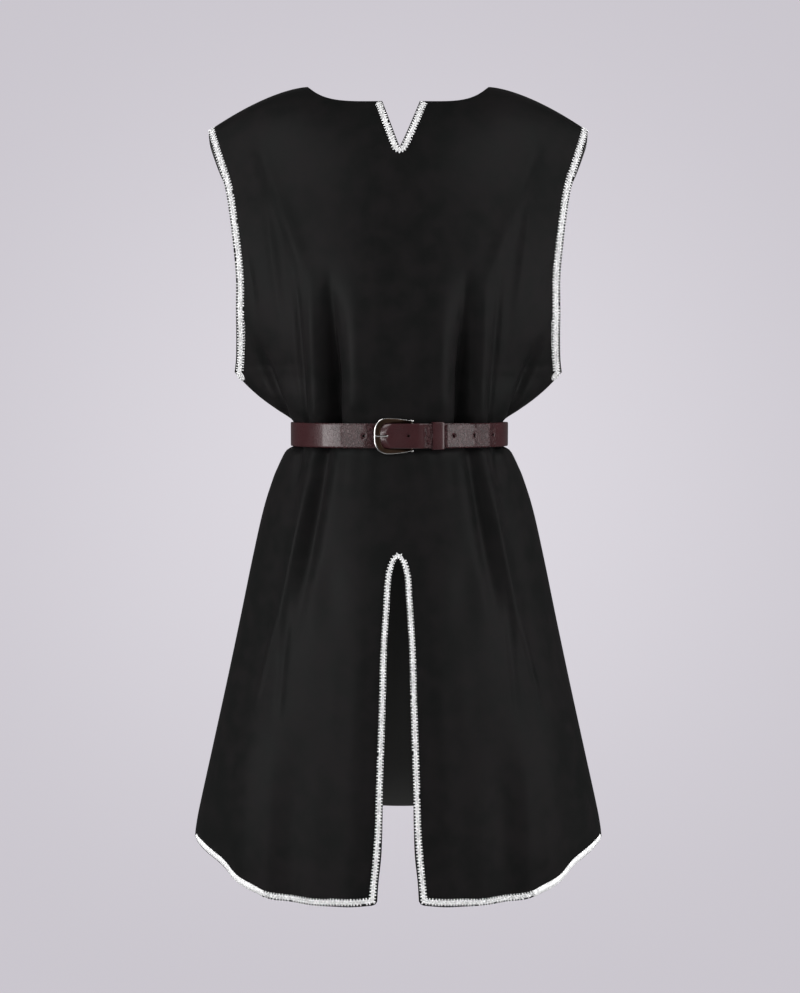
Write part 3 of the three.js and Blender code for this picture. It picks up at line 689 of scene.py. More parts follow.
def black_cloth():
    """Black sateen: fine warp and weft, a soft sheen and slight unevenness."""
    cloth = Finish("black_cloth", Specular_IOR_Level=0.042)
    weave = cloth.place(uv="cloth")
    warp, weft = (
        cloth.node(
            "ShaderNodeTexWave", {"wave_type": "BANDS", "bands_direction": direction},
            {"Vector": weave, "Scale": scale, "Distortion": 0.6, "Detail": 1.0}, output=1,
        )
        for direction, scale in (("X", 520.0), ("Y", 430.0))
    )
    slub = cloth.noise(cloth.place(scale=(1, 0.12, 1), uv="cloth"), 900.0, 3.0)
    patch = cloth.noise(cloth.place(), 9.0, 3.0)
    cloud = cloth.noise(cloth.place(), 40.0, 4.0, 0.6)
    shade = cloth.between(patch * 0.4 + cloud * 0.6, 0.36, 0.64)
    cloth.colour(cloth.blend(shade, (0.0060, 0.0063, 0.0062), (0.0088, 0.0080, 0.0083)))
    cloth.roughness(cloth.between(cloud, 0.3, 0.7, 0.38, 0.48))
    grain = cloth.relief(warp * 0.5 + weft * 0.5, 0.02, 0.25)
    cloth.relief(slub, 0.05, 0.25, before=grain)
    return cloth


def cloth_inside():
    """The dull inner side of the black cloth, partly its matte back and partly painted light: far
    lighter than the outside so that the shaded inside reads as lit.
    """
    inside = Finish("black_cloth_inside", Roughness=0.8, Specular_IOR_Level=0.1)
    fibre = inside.noise(inside.place(), 1100.0, 3.0)
    # Painted light: the inside gets a much lighter colour than the outer face, standing in for
    # light that reaches it.
    inside.colour(inside.blend(fibre, (0.044, 0.044, 0.043), (0.064, 0.063, 0.062)))
    inside.relief(fibre, 0.05, 0.3)
    return inside


def white_braid():
    """White cotton thread, each stitch a little lighter or darker, with fine fibres. The tone also
    carries painted shade on the backing, the tape's lower half and the stitches' backs inside.
    """
    braid = Finish("white_braid", Roughness=0.85, Specular_IOR_Level=0.25, Sheen_Weight=0.3)
    # Tone: random tone of each stitch, plus painted shade where the backing, the tape's underside
    # and the inner stitch backs are made darker.
    tone = braid.node("ShaderNodeAttribute", {"attribute_name": "tone"}, output=2)
    fibre = braid.noise(braid.place(), 1500.0, 3.0, 0.65)
    worn = braid.noise(braid.place(), 34.0, 3.0)
    clump = braid.noise(braid.place(), 260.0, 2.0)
    share = tone * braid.between(worn, 0.25, 0.6, 0.84, 1.0)
    share = share * braid.between(clump, 0.38, 0.6, 0.55, 1.0)
    braid.colour(braid.blend(share, (0.38, 0.38, 0.385), (0.96, 0.955, 0.96)))
    braid.relief(fibre, 0.2, 0.3)
    return braid


def black_thread():
    thread = Finish("black_thread", Roughness=0.5, Sheen_Weight=0.2)
    twist = thread.noise(thread.place(), 1800.0)
    thread.colour(thread.blend(twist, (0.010, 0.010, 0.011), (0.026, 0.025, 0.026)))
    return thread


def belt_leather(name, creasing=1.0):
    """Glossy dark red leather: smooth by the buckle, creased across where it was bent."""
    leather = Finish(name, Specular_IOR_Level=0.3, Coat_Roughness=0.12, Coat_IOR=1.45)
    leather.shader.inputs["Coat Weight"].default_value = 0.55
    flat = leather.place()
    x = leather.node("ShaderNodeSeparateXYZ", inputs={0: flat})
    left = leather.between(x, -0.104, -0.076) * leather.between(x, -0.038, -0.03, 1.0, 0.0)
    near = leather.between(x, 0.034, 0.040)
    far = leather.between(x, 0.125, 0.145, 1.0, 0.0)
    creased = leather.node("ShaderNodeMath", {"operation": "MAXIMUM"}, {0: left, 1: near * far})
    creased = creased * creasing
    warped = leather.node(
        "ShaderNodeVectorMath", {"operation": "MULTIPLY_ADD"},
        {0: leather.node("ShaderNodeTexNoise", inputs={"Vector": flat, "Scale": 90.0}, output=1),
         1: (0.012, 0.012, 0.012), 2: leather.place(scale=(1, 1, 0.45), turn=(0, 0.7, 0))},
    )
    crease = leather.node(
        "ShaderNodeTexVoronoi", {"feature": "DISTANCE_TO_EDGE"}, {"Vector": warped, "Scale": 190.0}
    )
    pores = leather.noise(flat, 1400.0, 3.0, 0.6)
    broad = leather.noise(leather.place(scale=(1, 1, 0.4), turn=(0, 0.8, 0)), 170.0, 1.0)
    height = leather.between(crease, 0.0, 0.26) * creased * 0.9 + broad * creased
    leather.relief(height + pores * 0.05, 2.1, 1.0)
    stain = leather.noise(flat, 45.0, 3.0)
    leather.colour(leather.blend(stain, (0.022, 0.0055, 0.0068), (0.036, 0.0092, 0.0110)))
    leather.roughness(leather.between(pores + creased * 0.3, 0.3, 1.0, 0.26, 0.44))
    return leather


def bright_metal(name, base, rough):
    metal = Finish(name, Metallic=1.0)
    wear = metal.noise(metal.place(), 260.0, 4.0)
    metal.colour(metal.blend(wear, base, tuple(0.86 * c for c in base)))
    metal.roughness(metal.between(wear, 0.3, 0.8, rough, rough + 0.12))
    metal.relief(metal.noise(metal.place(), 700.0), 0.03, 0.2)
    return metal


cloth_finish = black_cloth()
inside_finish = cloth_inside()
braid_finish = white_braid()
thread_finish = black_thread()
leather_finish = belt_leather("belt_leather")
keeper_finish = belt_leather("keeper_leather", 0.0)
metal_finish = bright_metal("plated_metal", (0.80, 0.785, 0.77), 0.14)
# Painted reflection and shade: a dark brown metal for the buckle's inner slope and the prong under
# the buckle, standing for the leather they reflect and the shade they lie in.
reflection_and_shade_finish = bright_metal("metal_painted_reflection_and_shade", (0.10, 0.062, 0.042), 0.3)


# Cloth panels


def cloth_panel(name, panel, node, cells):
    """Both halves of a panel as one thin shell, joined where the middle isn't open."""
    row_cell, inner_cells, outer_cells = cells
    rows = divided(ROW_STOPS, row_cell)
    columns = np.concatenate([
        np.linspace(0, 1, 5), np.linspace(1, 2, inner_cells + 1)[1:],
        np.linspace(2, 3, outer_cells + 1)[1:], np.linspace(3, 4, 5)[1:],
    ])
    bm = bmesh.new()
    uv = bm.loops.layers.uv.new("cloth")
    spots = []
    middle = []
    for half in (1, -1):
        points, reach, level = panel.grid(half, rows, columns)
        outward = np.tile([0.0, panel.face, 0.0], (len(points), 1))
        lattice = (len(rows), len(columns), 3)
        made = add_grid(bm, points.reshape(lattice), outward.reshape(lattice))
        spots += list(zip((half * reach * MM).tolist(), (level * MM).tolist()))
        closed = panel.opening(rows) == 0
        middle += [made[r * len(columns)] for r in range(len(rows)) if closed[r]]
    bm.verts.index_update()
    for face in bm.faces:
        for loop in face.loops:
            loop[uv].uv = spots[loop.vert.index]
    bmesh.ops.remove_doubles(bm, verts=middle, dist=0.01 * MM)
    piece = new_piece(name, bm, [cloth_finish, inside_finish], "cloth", node)
    add_wall(piece, CLOTH, lined=True)


# Braid


ACROSS = np.linspace(0, 1, 9)  # over a band, from the cloth's side to the edge's side
LAST = len(ACROSS) - 1
CENTRE = LAST // 2  # column of a band's middle line
TOOTH = 4.2  # from one tooth of the braid to the next
STITCH = bead(6, 5)
FOOT_BARE = 0.018  # share of the armholes' braid, either side of the foot, with no teeth inside


def even_rows(band, step=1.0):
    """The same band with its rows at even steps along its middle."""
    at = lengths(band[:, CENTRE])
    wanted = np.linspace(0, at[-1], max(2, round(at[-1] / step)))
    return resampled(band.reshape(len(band), -1), at, wanted).reshape(-1, *band.shape[1:])


def lattice(rows, columns):
    """Two flat arrays: the row's value and the column's value at each place of a lattice."""
    return (a.ravel() for a in np.meshgrid(rows, columns, indexing="ij"))


def rounded(path, times=4):
    """A path with its corners cut off again and again."""
    path = np.array(path, float)
    for _ in range(times):
        near = 0.75 * path[:-1] + 0.25 * path[1:]
        far = 0.25 * path[:-1] + 0.75 * path[1:]
        path = np.concatenate([path[:1], np.stack([near, far], 1).reshape(-1, 2), path[-1:]])
    return path


def along_path(path, count):
    """Points at even steps along a path of x and z."""
    at = lengths(path)
    return resampled(path, at, np.linspace(0, at[-1], count))


def band_between(far, near):
    """A band of the front cloth from its far side to the side by the cloth's edge."""
    flat = mix(far[:, None], near[:, None], ACROSS[None, :, None])
    points = FRONT.at(flat[..., 0].ravel(), flat[..., 1].ravel())
    return points.reshape(len(far), len(ACROSS), 3)


def band_about(path, step=0.8):
    """A band of the front cloth about rows of x, z and width."""
    at = lengths(path[:, :2])
    x, z, wide = resampled(path, at, np.linspace(0, at[-1], round(at[-1] / step))).T
    run_x, run_z = np.gradient(x), np.gradient(z)
    long = np.hypot(run_x, run_z)
    side = np.stack([-run_z / long, run_x / long], axis=1) * wide[:, None] / 2
    line = np.stack([x, z], axis=1)
    return band_between(line + side, line - side)


class Ribbon:
    """An even lattice of a band, where stitches find their place by two shares."""

    def __init__(self, band):
        self.points = even_rows(band)
        normal = normals_of(self.points)
        front = normal[: len(normal) // 3, :, 1].sum()
        self.normal = -normal if front > 0 else normal
        self.run = unit(np.gradient(self.points, axis=0))
        self.width = np.linalg.norm(self.points[:, -1] - self.points[:, 0], axis=1)
        self.length = lengths(self.points[:, CENTRE])[-1]

    def sample(self, table, along, across):
        s = np.clip(along, 0, 1) * (len(table) - 1)
        i = np.minimum(s.astype(int), len(table) - 2)
        w = np.clip(across, -0.1, 1.1) * LAST
        j = np.clip(w.astype(int), 0, LAST - 1)
        u, v = (s - i)[:, None], (w - j)[:, None]
        near = mix(table[i, j], table[i, j + 1], v)
        return mix(near, mix(table[i + 1, j], table[i + 1, j + 1], v), u)

    def frame(self, along, across):
        """Place, outward normal, running direction and direction to the edge of each share."""
        at = self.sample(self.points, along, across)
        up = unit(self.sample(self.normal, along, across))
        run = square_to(self.sample(self.run, along, across), up)
        edge = square_to(self.sample(self.points, along, across + 0.1) - at, up, run)
        return at, up, run, edge


def add_strip(bm, ribbon, rows, columns, lift, tones, thickness):
    """A strip on a ribbon over shares along and across it, with one tone for each column."""
    tone = bm.verts.layers.float["tone"]
    at, up, _, _ = ribbon.frame(*lattice(rows, columns))
    shape = (len(rows), len(columns), 3)
    up = up.reshape(shape)
    first = len(bm.faces)
    made = add_grid(bm, at.reshape(shape) + up * lift[..., None], up)
    for vert, value in zip(made, tones * len(rows)):
        vert[tone] = value
    bm.faces.ensure_lookup_table()
    bmesh.ops.solidify(bm, geom=bm.faces[first:], thickness=thickness * MM)


def add_backing(bm, ribbon):
    """The thin woven strip that the stitches hold down, with painted shade: it is made darker than
    the stitches, as the shade between them.
    """
    columns = np.linspace(0.21, 0.79, 7)
    rows = np.linspace(0, 1, len(ribbon.points))
    dome = 0.35 + 0.45 * np.sin(np.linspace(0, math.pi, 7))
    # Painted shade: tone 0.4 darkens the backing where it lies in the shade between the stitches.
    add_strip(bm, ribbon, rows, columns, dome, [0.4] * 7, 0.5)


def add_tape(bm, ribbon, start):
    """The hem's plain turned tape by the sides, white above, with painted shade below: its
    rolled-under lower half is made greyer.
    """
    fold = 0.52
    columns = np.linspace(0, 1, 13)
    rows = np.linspace(start, 1, max(2, round(len(ribbon.points) * (1 - start))))
    upper = 0.9 + 0.5 * np.sin(math.pi * np.clip(columns / fold, 0, 1))
    lower = 0.9 + 0.45 * np.sin(math.pi * (columns - fold) / (1 - fold))
    ripple = 0.22 * np.sin(rows * ribbon.length / 0.55)
    lift = np.where(columns > fold, lower, upper) + ripple[:, None]
    # Painted shade: the lower half gets tone 0.5, as shade on the part that rolls under.
    tones = [1.0 if share < 0.54 else 0.5 for share in columns]
    add_strip(bm, ribbon, rows, columns, lift, tones, 0.9)


def lay(bm, at, up, axis, sizes, lift, tones):
    """Lays a stitch along its axis at each place. Sizes are half its width, height and length."""
    wide, high, long = sizes
    axes = np.stack([np.cross(up, axis) * wide, up * high, axis * long], axis=1)
    add_copies(bm, STITCH, at + up * lift, axes, tones)


def add_stitches(bm, ribbon, side, tone=1.0, stop=1.0, bare=0.0):
    """Slanted stitches from the middle to one side, with a tooth over every second one.

    bare is the share of the ribbon before and after its middle that gets none.
    """
    whole = 2 * round(ribbon.length / TOOTH)
    k = np.arange(round(whole * stop))
    k = k[np.abs((k + 0.5) / whole - 0.5) >= bare]
    k = k[RANDOM.random(len(k)) > 0.02]
    count = len(k)
    along = (k + 0.5 + RANDOM.uniform(-0.16, 0.16, count)) / whole
    tooth = k % 2 == 0
    tip = 0.285 + RANDOM.uniform(-0.03, 0.03, count)
    root = np.where(tooth, 0.05, -0.04) + RANDOM.uniform(-0.04, 0.04, count)
    middle = 0.5 + side * (tip + root) / 2
    at, up, run, edge = ribbon.frame(along, middle)
    wide = np.interp(along, np.linspace(0, 1, len(ribbon.width)), ribbon.width)
    half = ((tip - root) / 2 * wide / 0.86)[:, None]
    lean = 0.5 + RANDOM.uniform(-0.16, 0.16, count)
    axis = side * edge * np.cos(lean)[:, None] - run * np.sin(lean)[:, None]
    thick = RANDOM.uniform(0.8, 1.15, (count, 1))
    lift = np.where(tooth, 0.75, 0.95) + RANDOM.uniform(-0.12, 0.2, count)
    tones = tone * (0.5 + 0.5 * RANDOM.random(count) ** 0.6)
    lay(bm, at, up, axis, (thick, thick * 0.8, half), lift[:, None], tones)
    along = along[tooth]
    count = len(along)
    at, up, _, edge = ribbon.frame(along, 0.5 + side * RANDOM.uniform(0.36, 0.4, count))
    size = RANDOM.uniform(0.95, 1.15, (count, 1))
    tones = tone * RANDOM.uniform(0.8, 1.0, count)
    lay(bm, at, up, edge, (size, size * 0.7, size * 1.5), 0.75, tones)


def add_knots(bm, ribbon, stop):
    """Short raised stitches strewn over the ribbon, which make it uneven."""
    count = round(ribbon.length * stop / 1.6)
    along = RANDOM.random(count) * stop
    at, up, run, edge = ribbon.frame(along, RANDOM.uniform(0.3, 0.7, count))
    turn = RANDOM.uniform(-1.2, 1.2, count)[:, None]
    axis = edge * np.cos(turn) + run * np.sin(turn)
    size = RANDOM.uniform(0.5, 0.95, (count, 1))
    lift = RANDOM.uniform(1.0, 1.5, (count, 1))
    tones = RANDOM.uniform(0.35, 1.0, count)
    lay(bm, at, up, axis, (size, size * 0.7, size * 1.7), lift, tones)


def add_chain(bm, ribbon, start, end):
    """A line of loops along the teeth's tips, which leaves dark gaps between the teeth."""
    count = round(ribbon.length * (end - start) / TOOTH)
    along = mix(start, end, (np.arange(count) + 0.5) / count)
    at, up, run, _ = ribbon.frame(along, -0.03 + RANDOM.uniform(-0.03, 0.03, count))
    long = RANDOM.uniform(1.35, 1.95, (count, 1))
    lay(bm, at, up, run, (0.5, 0.5, long), 0.6, RANDOM.uniform(0.55, 1.0, count))


def stitched_braid(name, node, band, tape_from=None):
    """A braid sewn on with two rows of slanted stitches, plain tape beyond tape_from."""
    bm = bmesh.new()
    bm.verts.layers.float.new("tone")
    ribbon = Ribbon(band)
    add_backing(bm, ribbon)
    stop = 1.0
    if tape_from:
        beyond = np.abs(ribbon.points[:, CENTRE, 0]) > tape_from
        stop = np.argmax(beyond) / len(beyond)
        add_tape(bm, ribbon, stop)
    for side in (-1, 1):
        add_stitches(bm, ribbon, side, stop=stop)
    add_knots(bm, ribbon, stop)
    new_piece(name, bm, [braid_finish], "braid", node)


def armhole_braid(name, node, half):
    """As the others, with a chain by the lower front and the stitches' backs inside the back,
    painted darker as shade.
    """
    bm = bmesh.new()
    bm.verts.layers.float.new("tone")
    ribbon = Ribbon(armhole_band(half))
    add_backing(bm, ribbon)
    add_stitches(bm, ribbon, -1, bare=FOOT_BARE)
    add_stitches(bm, ribbon, 1)
    add_knots(bm, ribbon, 1.0)
    add_chain(bm, ribbon, 0.38, 0.48)
    inside = Ribbon(armhole_inside(half))
    inside.normal = -inside.normal
    # Painted shade: the backs inside get tone 0.7, darker because they lie in shade inside the
    # armhole.
    for side in (-1, 1):
        add_stitches(bm, inside, side, tone=0.7)
    new_piece(name, bm, [braid_finish], "braid", node)


def notch_band():
    """The braid of the neck's notch: straight inner sides that meet in a point."""
    z = np.linspace(-FRONT_NECK - 0.4, NOTCH_FOOT, 60)
    edge = np.stack([notch_half(z) + 1.6, z], axis=1)
    far = edge + (8.6, -2.6)
    far[:, 1] -= 1.8 * smooth((far[:, 1] + 44) / 8)
    foot = rounded([(9.2, NOTCH_FOOT - 4.4), (6, NOTCH_FOOT - 8.4), (0, NOTCH_FOOT - 9.4)])
    far = along_path(np.concatenate([far, foot]), 90)
    edge = along_path(np.concatenate([edge, [(0, NOTCH_FOOT - 2.2)]]), 90)
    both = [np.concatenate([side, side[::-1][1:] * (-1, 1)]) for side in (far, edge)]
    return band_between(*both)


def slit_inset(z):
    """Bare cloth between the slit's edge and its braid, wider towards the foot."""
    return 0.9 + 2.4 * smooth((-1000 - z) / 80)


def slit_band():
    z = np.linspace(HEM_FRONT + 12, SLIT_TOP - 16, 60)
    wide = 7.6 + 0.8 * smooth((-760 - z) / 160)
    side = np.stack([curve(SLIT, z) + slit_inset(z) + wide / 2, z, wide], axis=1)
    arch = [(10.6, SLIT_TOP - 9, 7.4), (6.8, SLIT_TOP + 0.5, 7), (3.2, SLIT_TOP + 6.2, 6.2)]
    top = [(0, SLIT_TOP + 8.8, 5.6)]
    half = [*side, *arch]
    other = [(-x, height, w) for x, height, w in half[::-1]]
    path = np.array([*half, *top, *other])
    for _ in range(3):
        path[1:-1] = (path[:-2] + 2 * path[1:-1] + path[2:]) / 4
    return band_about(path[::-1])


def hem_band(half):
    """The hem's braid. Towards the side its lower half is rolled under."""
    x = np.linspace(31, 299.4, 200)
    edge = front_hem(x) + 0.4 + 1.2 * (1 - smooth((x - 80) / 30)) - 1.2 * smooth((x - 184) / 12)
    tall = 9.2 + 1.4 * smooth((x - 190) / 20) - 1.5 * smooth((x - 286) / 14)
    slope = np.gradient(front_hem(x), x)
    tilt = np.stack([-slope, np.ones(len(x))], axis=1) / np.hypot(slope, 1)[:, None]
    near = np.stack([x, edge], axis=1)
    far = near + tilt * tall[:, None]
    far[:, 0] = np.minimum(far[:, 0], 300.4 - (near[:, 0] - 299.4))
    band = band_between(*(line * (half, 1) for line in (far, near)))
    rolled = smooth((x - 172) / 26)[:, None] * np.clip((ACROSS - 0.4) / 0.6, 0, 1) ** 1.6
    inward = band * (1, 1, 0) / np.linalg.norm(band[..., :2], axis=2, keepdims=True)
    return band - inward * (2.5 * rolled)[..., None]


def arm_side(panel, half, level, share, lift=0.0):
    """Points of a panel by the armhole: share 0 at the braid's far side, 1 at its near side."""
    side = panel.section(level)[2][:, -1]
    inset = mix(curve(ARM_BAND, level), curve(ARM_BAND, level, 2), share)
    points = panel.point(half, level, side - inset)
    if lift:
        inner = panel.point(half, level, side - inset - 2)
        lower = panel.point(half, level - 2, side - inset)
        out = np.cross(inner - points, lower - points)
        points = points + lift * unit(out * np.sign(out[:, 1:2]) * panel.face)
    return points


def armhole_band(half):
    """Down the armhole's front edge, round its foot and up its back edge."""
    level, share = lattice(np.linspace(-0.2, ARM_FOOT, 240), ACROSS)
    foot_share = mix(curve(ARM_BAND, ARM_FOOT), 2.6, ACROSS)
    turn, away = lattice(np.linspace(0, math.pi / 2, 24)[1:], foot_share)
    foot_level = ARM_FOOT - away * np.sin(turn)
    parts = []
    for panel in (FRONT, BACK):
        down = arm_side(panel, half, level, share)
        side = panel.section(foot_level)[2][:, -1]
        foot = panel.point(half, foot_level, side - away * np.cos(turn))
        parts.append(np.concatenate([down, foot]).reshape(-1, len(ACROSS), 3))
    return np.concatenate([parts[0], parts[1][::-1][1:]])


def armhole_inside(half):
    """The stitches' backs inside the back's edge, which show by the shoulder."""
    level, share = lattice(np.linspace(-1, -190, 120), mix(0.1, 1.0, ACROSS))
    return arm_side(BACK, half, level, share, -CLOTH - 0.2).reshape(-1, len(ACROSS), 3)


# Belt


def turn_at(x):
    return np.arcsin(x / WAIST_WIDE)


def waist(turn, lift, z):
    """Points round the waist: the angle from the front middle, the distance off the cloth."""
    turn, lift, z = np.broadcast_arrays(np.asarray(turn, float), lift, z)
    deep = np.where(np.cos(turn) > 0, WAIST_FRONT, WAIST_BACK)
    nx, ny = np.sin(turn) / WAIST_WIDE, -np.cos(turn) / deep
    long = np.hypot(nx, ny)
    x = WAIST_WIDE * np.sin(turn) + lift * nx / long
    return np.stack([x, -deep * np.cos(turn) + lift * ny / long, z], axis=-1)


def strap_lift(turn, height):
    """Distance of the strap's inner face off the cloth. Mid-height it rises a little earlier."""
    x = WAIST_WIDE * np.sin(turn)
    ahead = x + 9 * (1 - (height / BELT_HALF) ** 2)
    front = np.cos(turn) > 0
    bump = 1.9 * smooth((x - 26) / 16) * (1 - smooth((x - 64) / 16))
    under = STRAP_REST + np.where(front & (x > 0) & (turn < FULL_TURN), bump, 0)
    rise = STRAP_REST + 5.2 * smooth((ahead + 23) / 17) + 2.2 * smooth((x + 8) / 24)
    over = mix(rise, STRAP_BRIDGE, smooth((x - 24) / 18))
    over = mix(over, STRAP_OVER, smooth((x - 64) / 16))
    second = (turn > FULL_TURN - math.radians(60)) & (front | (turn > FULL_TURN))
    return np.where(second, np.where(front, over, STRAP_OVER), under)


def belt_strap():
    """Once round the waist from the buckle's bar, and on over itself, with its punched holes."""
    start, tip = turn_at(BAR_X), FULL_TURN + math.radians(118)
    holes = [FULL_TURN + turn_at(x) for x in HOLES_X]
    fine = [FULL_TURN - math.radians(62), *holes, FULL_TURN + math.radians(64)]
    turns = np.concatenate([
        divided([start, start + 0.5], 0.012), divided([start + 0.5, fine[0]], 0.03)[1:],
        divided(fine, 0.0068)[1:], divided([fine[-1], tip], 0.02)[1:],
    ])
    height = np.linspace(-BELT_HALF, BELT_HALF, 35)
    end = np.clip((tip - turns) * 130 / 15, 0, 1)
    shrink = np.sqrt(1 - (1 - end) ** 2) * 0.62 + 0.38
    flat_z = height[None] * shrink[:, None]
    edge = np.clip((np.abs(height) - BELT_HALF + 1.6) / 1.6, 0, 1) ** 2
    turn = np.repeat(turns[:, None], len(height), axis=1)
    lift = strap_lift(turn, flat_z) + STRAP - 0.7 * edge[None]
    dished = np.zeros(turn.shape)
    open_at = np.zeros(turn.shape, bool)
    for hole in holes:
        k = np.argmin(np.abs(turns - hole))
        scale = np.hypot(WAIST_WIDE * math.cos(hole), WAIST_FRONT * math.sin(hole))
        dx, dz = (turn - hole) * scale, flat_z
        cells = np.maximum(np.abs(np.arange(len(turns))[:, None] - k),
                           np.abs(np.arange(len(height))[None] - 17))
        r = np.hypot(dx, dz)
        ring = np.where(cells <= 2, HOLE_R, mix(HOLE_R, r, np.clip((cells - 2) / 3, 0, 1)))
        grow = np.where((cells >= 2) & (cells < 5), ring / np.maximum(r, 0.01), 1)
        turn = turn + dx / scale * (grow - 1)
        flat_z = flat_z + dz * (grow - 1)
        dished += np.where(cells >= 2, 0.55 * np.exp(-(((ring - HOLE_R) / 1.1) ** 2)), 0)
        open_at |= cells < 2
    points = waist(turn, lift - dished, BELT_MID + flat_z)
    outward = waist(turn, lift + 10, BELT_MID + flat_z) - points
    bm = bmesh.new()
    made = add_grid(bm, points, outward)
    doomed = [v for v, gone in zip(made, open_at.ravel()) if gone]
    bmesh.ops.delete(bm, geom=doomed, context="VERTS")
    strap = new_piece("belt", bm, [leather_finish], "leather", "belt_strap")
    add_wall(strap, STRAP, 0.35)


BAR_MIDDLE = waist(turn_at(BAR_X), BAR_LIFT, BELT_MID)


def belt_fold():
    """The strap's turned end round the buckle's bar, in two parts beside the prong's eye."""
    bm = bmesh.new()
    right = unit(waist(turn_at(BAR_X) + 0.01, BAR_LIFT, BELT_MID) - BAR_MIDDLE)
    out = np.array([right[1], -right[0], 0])
    angle = np.linspace(0.7, FULL_TURN - 0.5, 26)[:, None, None]
    for low, high in ((-BELT_HALF + 0.3, -3.4), (3.4, BELT_HALF - 0.3)):
        z = np.linspace(low, high, 9)[None, :, None]
        ring = right * np.cos(angle) + out * np.sin(angle)
        points = BAR_MIDDLE + 3.5 * ring + np.array([0, 0, 1]) * z
        add_grid(bm, points, np.broadcast_to(ring, points.shape))
    add_wall(new_piece("belt_fold", bm, [leather_finish], "leather"), 1.5, 0.3)


def rounded_box(low, high, tall, corner, steps=6):
    """A closed line of lifts and heights round a box with rounded corners."""
    line = []
    for k, (side, up) in enumerate(((1, 1), (0, 1), (0, 0), (1, 0))):
        centre = (mix(low + corner, high - corner, side), mix(corner - tall, tall - corner, up))
        for step in range(steps + 1):
            a = math.pi / 2 * (k + step / steps)
            line.append((centre[0] + corner * math.cos(a), centre[1] + corner * math.sin(a)))
    return np.array([*line, line[0]])


def belt_keeper():
    """The loop that holds the strap's end. Its two edges stand out a little."""
    line = rounded_box(STRAP_REST, KEEPER_TALL + KEEPER_WALL, BELT_HALF + 2, 1.5)
    turns = np.linspace(*turn_at(np.array(KEEPER_X)), 9)
    bulge = np.array([0.35, 0.1, 0, 0, 0, 0, 0, 0.1, 0.35])
    middle = line[:-1].mean(axis=0)
    lift = line[None, :, 0] - bulge[:, None] * np.sign(line[None, :, 0] - middle[0])
    points = waist(turns[:, None], lift, BELT_MID + line[None, :, 1])
    inside = waist(turns, middle[0], BELT_MID)
    bm = bmesh.new()
    add_grid(bm, points, points - inside[:, None], turn_closed=True)
    keeper = new_piece("belt_loop", bm, [keeper_finish], "leather", "belt_keeper")
    add_wall(keeper, KEEPER_WALL, 0.3)


def buckle_line():
    """The buckle's outer line: a round end on the right, two arms that close in to the bar."""
    arms = np.array([-6, -2, 2, 6, 10, 14, 18, 20.5])
    rise = FRAME_HALF + 0.4 - 4.2 * ((arms + 10) / 30) ** 1.6
    a = np.linspace(0, math.pi, 61)
    bow_x = -10 - 22.6 * np.abs(np.sin(a)) ** 0.68
    bow_z = (FRAME_HALF + 0.4) * np.sign(np.cos(a)) * np.abs(np.cos(a)) ** 0.72
    x = np.concatenate([arms[::-1], bow_x, arms])
    return np.stack([x, np.concatenate([rise[::-1], bow_z, -rise])], axis=1)


# The buckle's bright rim: distance from its outer line, height over its underside. Then its
# inner slope, painted brown as the leather's reflection: share of the way from the rim to the
# inner line, height.
RIM = ((0, 1.2), (0.12, 2.6), (0.5, 3.5), (0.95, 4.1), (1.5, 4.4), (2.1, 4.45), (2.7, 4.2))
SLOPE = ((0.35, 3.55), (0.7, 2.8), (0.93, 2.45), (1, 2.2), (1, 0.8), (0.9, 0.1))


def close_ends(bm):
    bmesh.ops.holes_fill(bm, edges=[edge for edge in bm.edges if edge.is_boundary], sides=0)


def add_pin(bm, radius, long, segments):
    """An upright round pin on the buckle's axis."""
    pin = bmesh.ops.create_cone(
        bm, cap_ends=True, segments=segments, radius1=radius * MM, radius2=radius * MM,
        depth=long * MM,
    )
    bmesh.ops.translate(bm, verts=pin["verts"], vec=Vector(BAR_MIDDLE * MM))


def buckle_frame():
    """A flat band along the buckle's line with a bright rim, the bar and its two rounded ends."""
    line = buckle_line()
    x = line[:, 0]
    step = unit(np.gradient(line, axis=0))
    inward = np.stack([-step[:, 1], step[:, 0]], axis=1)
    band = FRAME_BAND + 1.4 * smooth((-12 - x) / 18) - 3 * smooth((x - 2) / 18)
    base = BAR_LIFT - 1.8 * smooth((x + 8) / 28)
    slim = 1.08 - 0.5 * smooth((x + 31) / 18)
    wide = [w * slim for w, _ in RIM] + [mix(RIM[-1][0] * slim, band, share) for share, _ in SLOPE]
    wide = np.stack([*wide, np.full(len(x), 0.9), wide[0]], axis=1)
    high = np.array([h for _, h in (*RIM, *SLOPE)] + [0, RIM[0][1]])
    place_x = x[:, None] + inward[:, :1] * wide
    place_z = line[:, 1:] + inward[:, 1:] * wide
    points = waist(turn_at(place_x), base[:, None] + high, BELT_MID + place_z)
    centre = points[:, :-1].mean(axis=1, keepdims=True)
    bm = bmesh.new()
    add_grid(bm, points, points - centre, turn_closed=True)
    bm.faces.ensure_lookup_table()
    # Painted reflection: the inner slope gets the dark brown metal for the leather it faces.
    inner = range(len(RIM) - 1, len(RIM) + len(SLOPE))
    for face in bm.faces:
        if face.index % len(high[1:]) in inner:
            face.material_index = 1
    close_ends(bm)
    add_pin(bm, BAR_R, 41, 20)
    for end in (-1, 1):
        tip = bmesh.ops.create_uvsphere(bm, u_segments=18, v_segments=10, radius=2.5 * MM)
        bmesh.ops.scale(bm, verts=tip["verts"], vec=(1.15, 1, 0.8))
        at = Vector((BAR_MIDDLE + (0, 0, end * 20.6)) * MM)
        bmesh.ops.translate(bm, verts=tip["verts"], vec=at)
    new_piece("buckle", bm, [metal_finish, reflection_and_shade_finish], "metal", "buckle_frame")


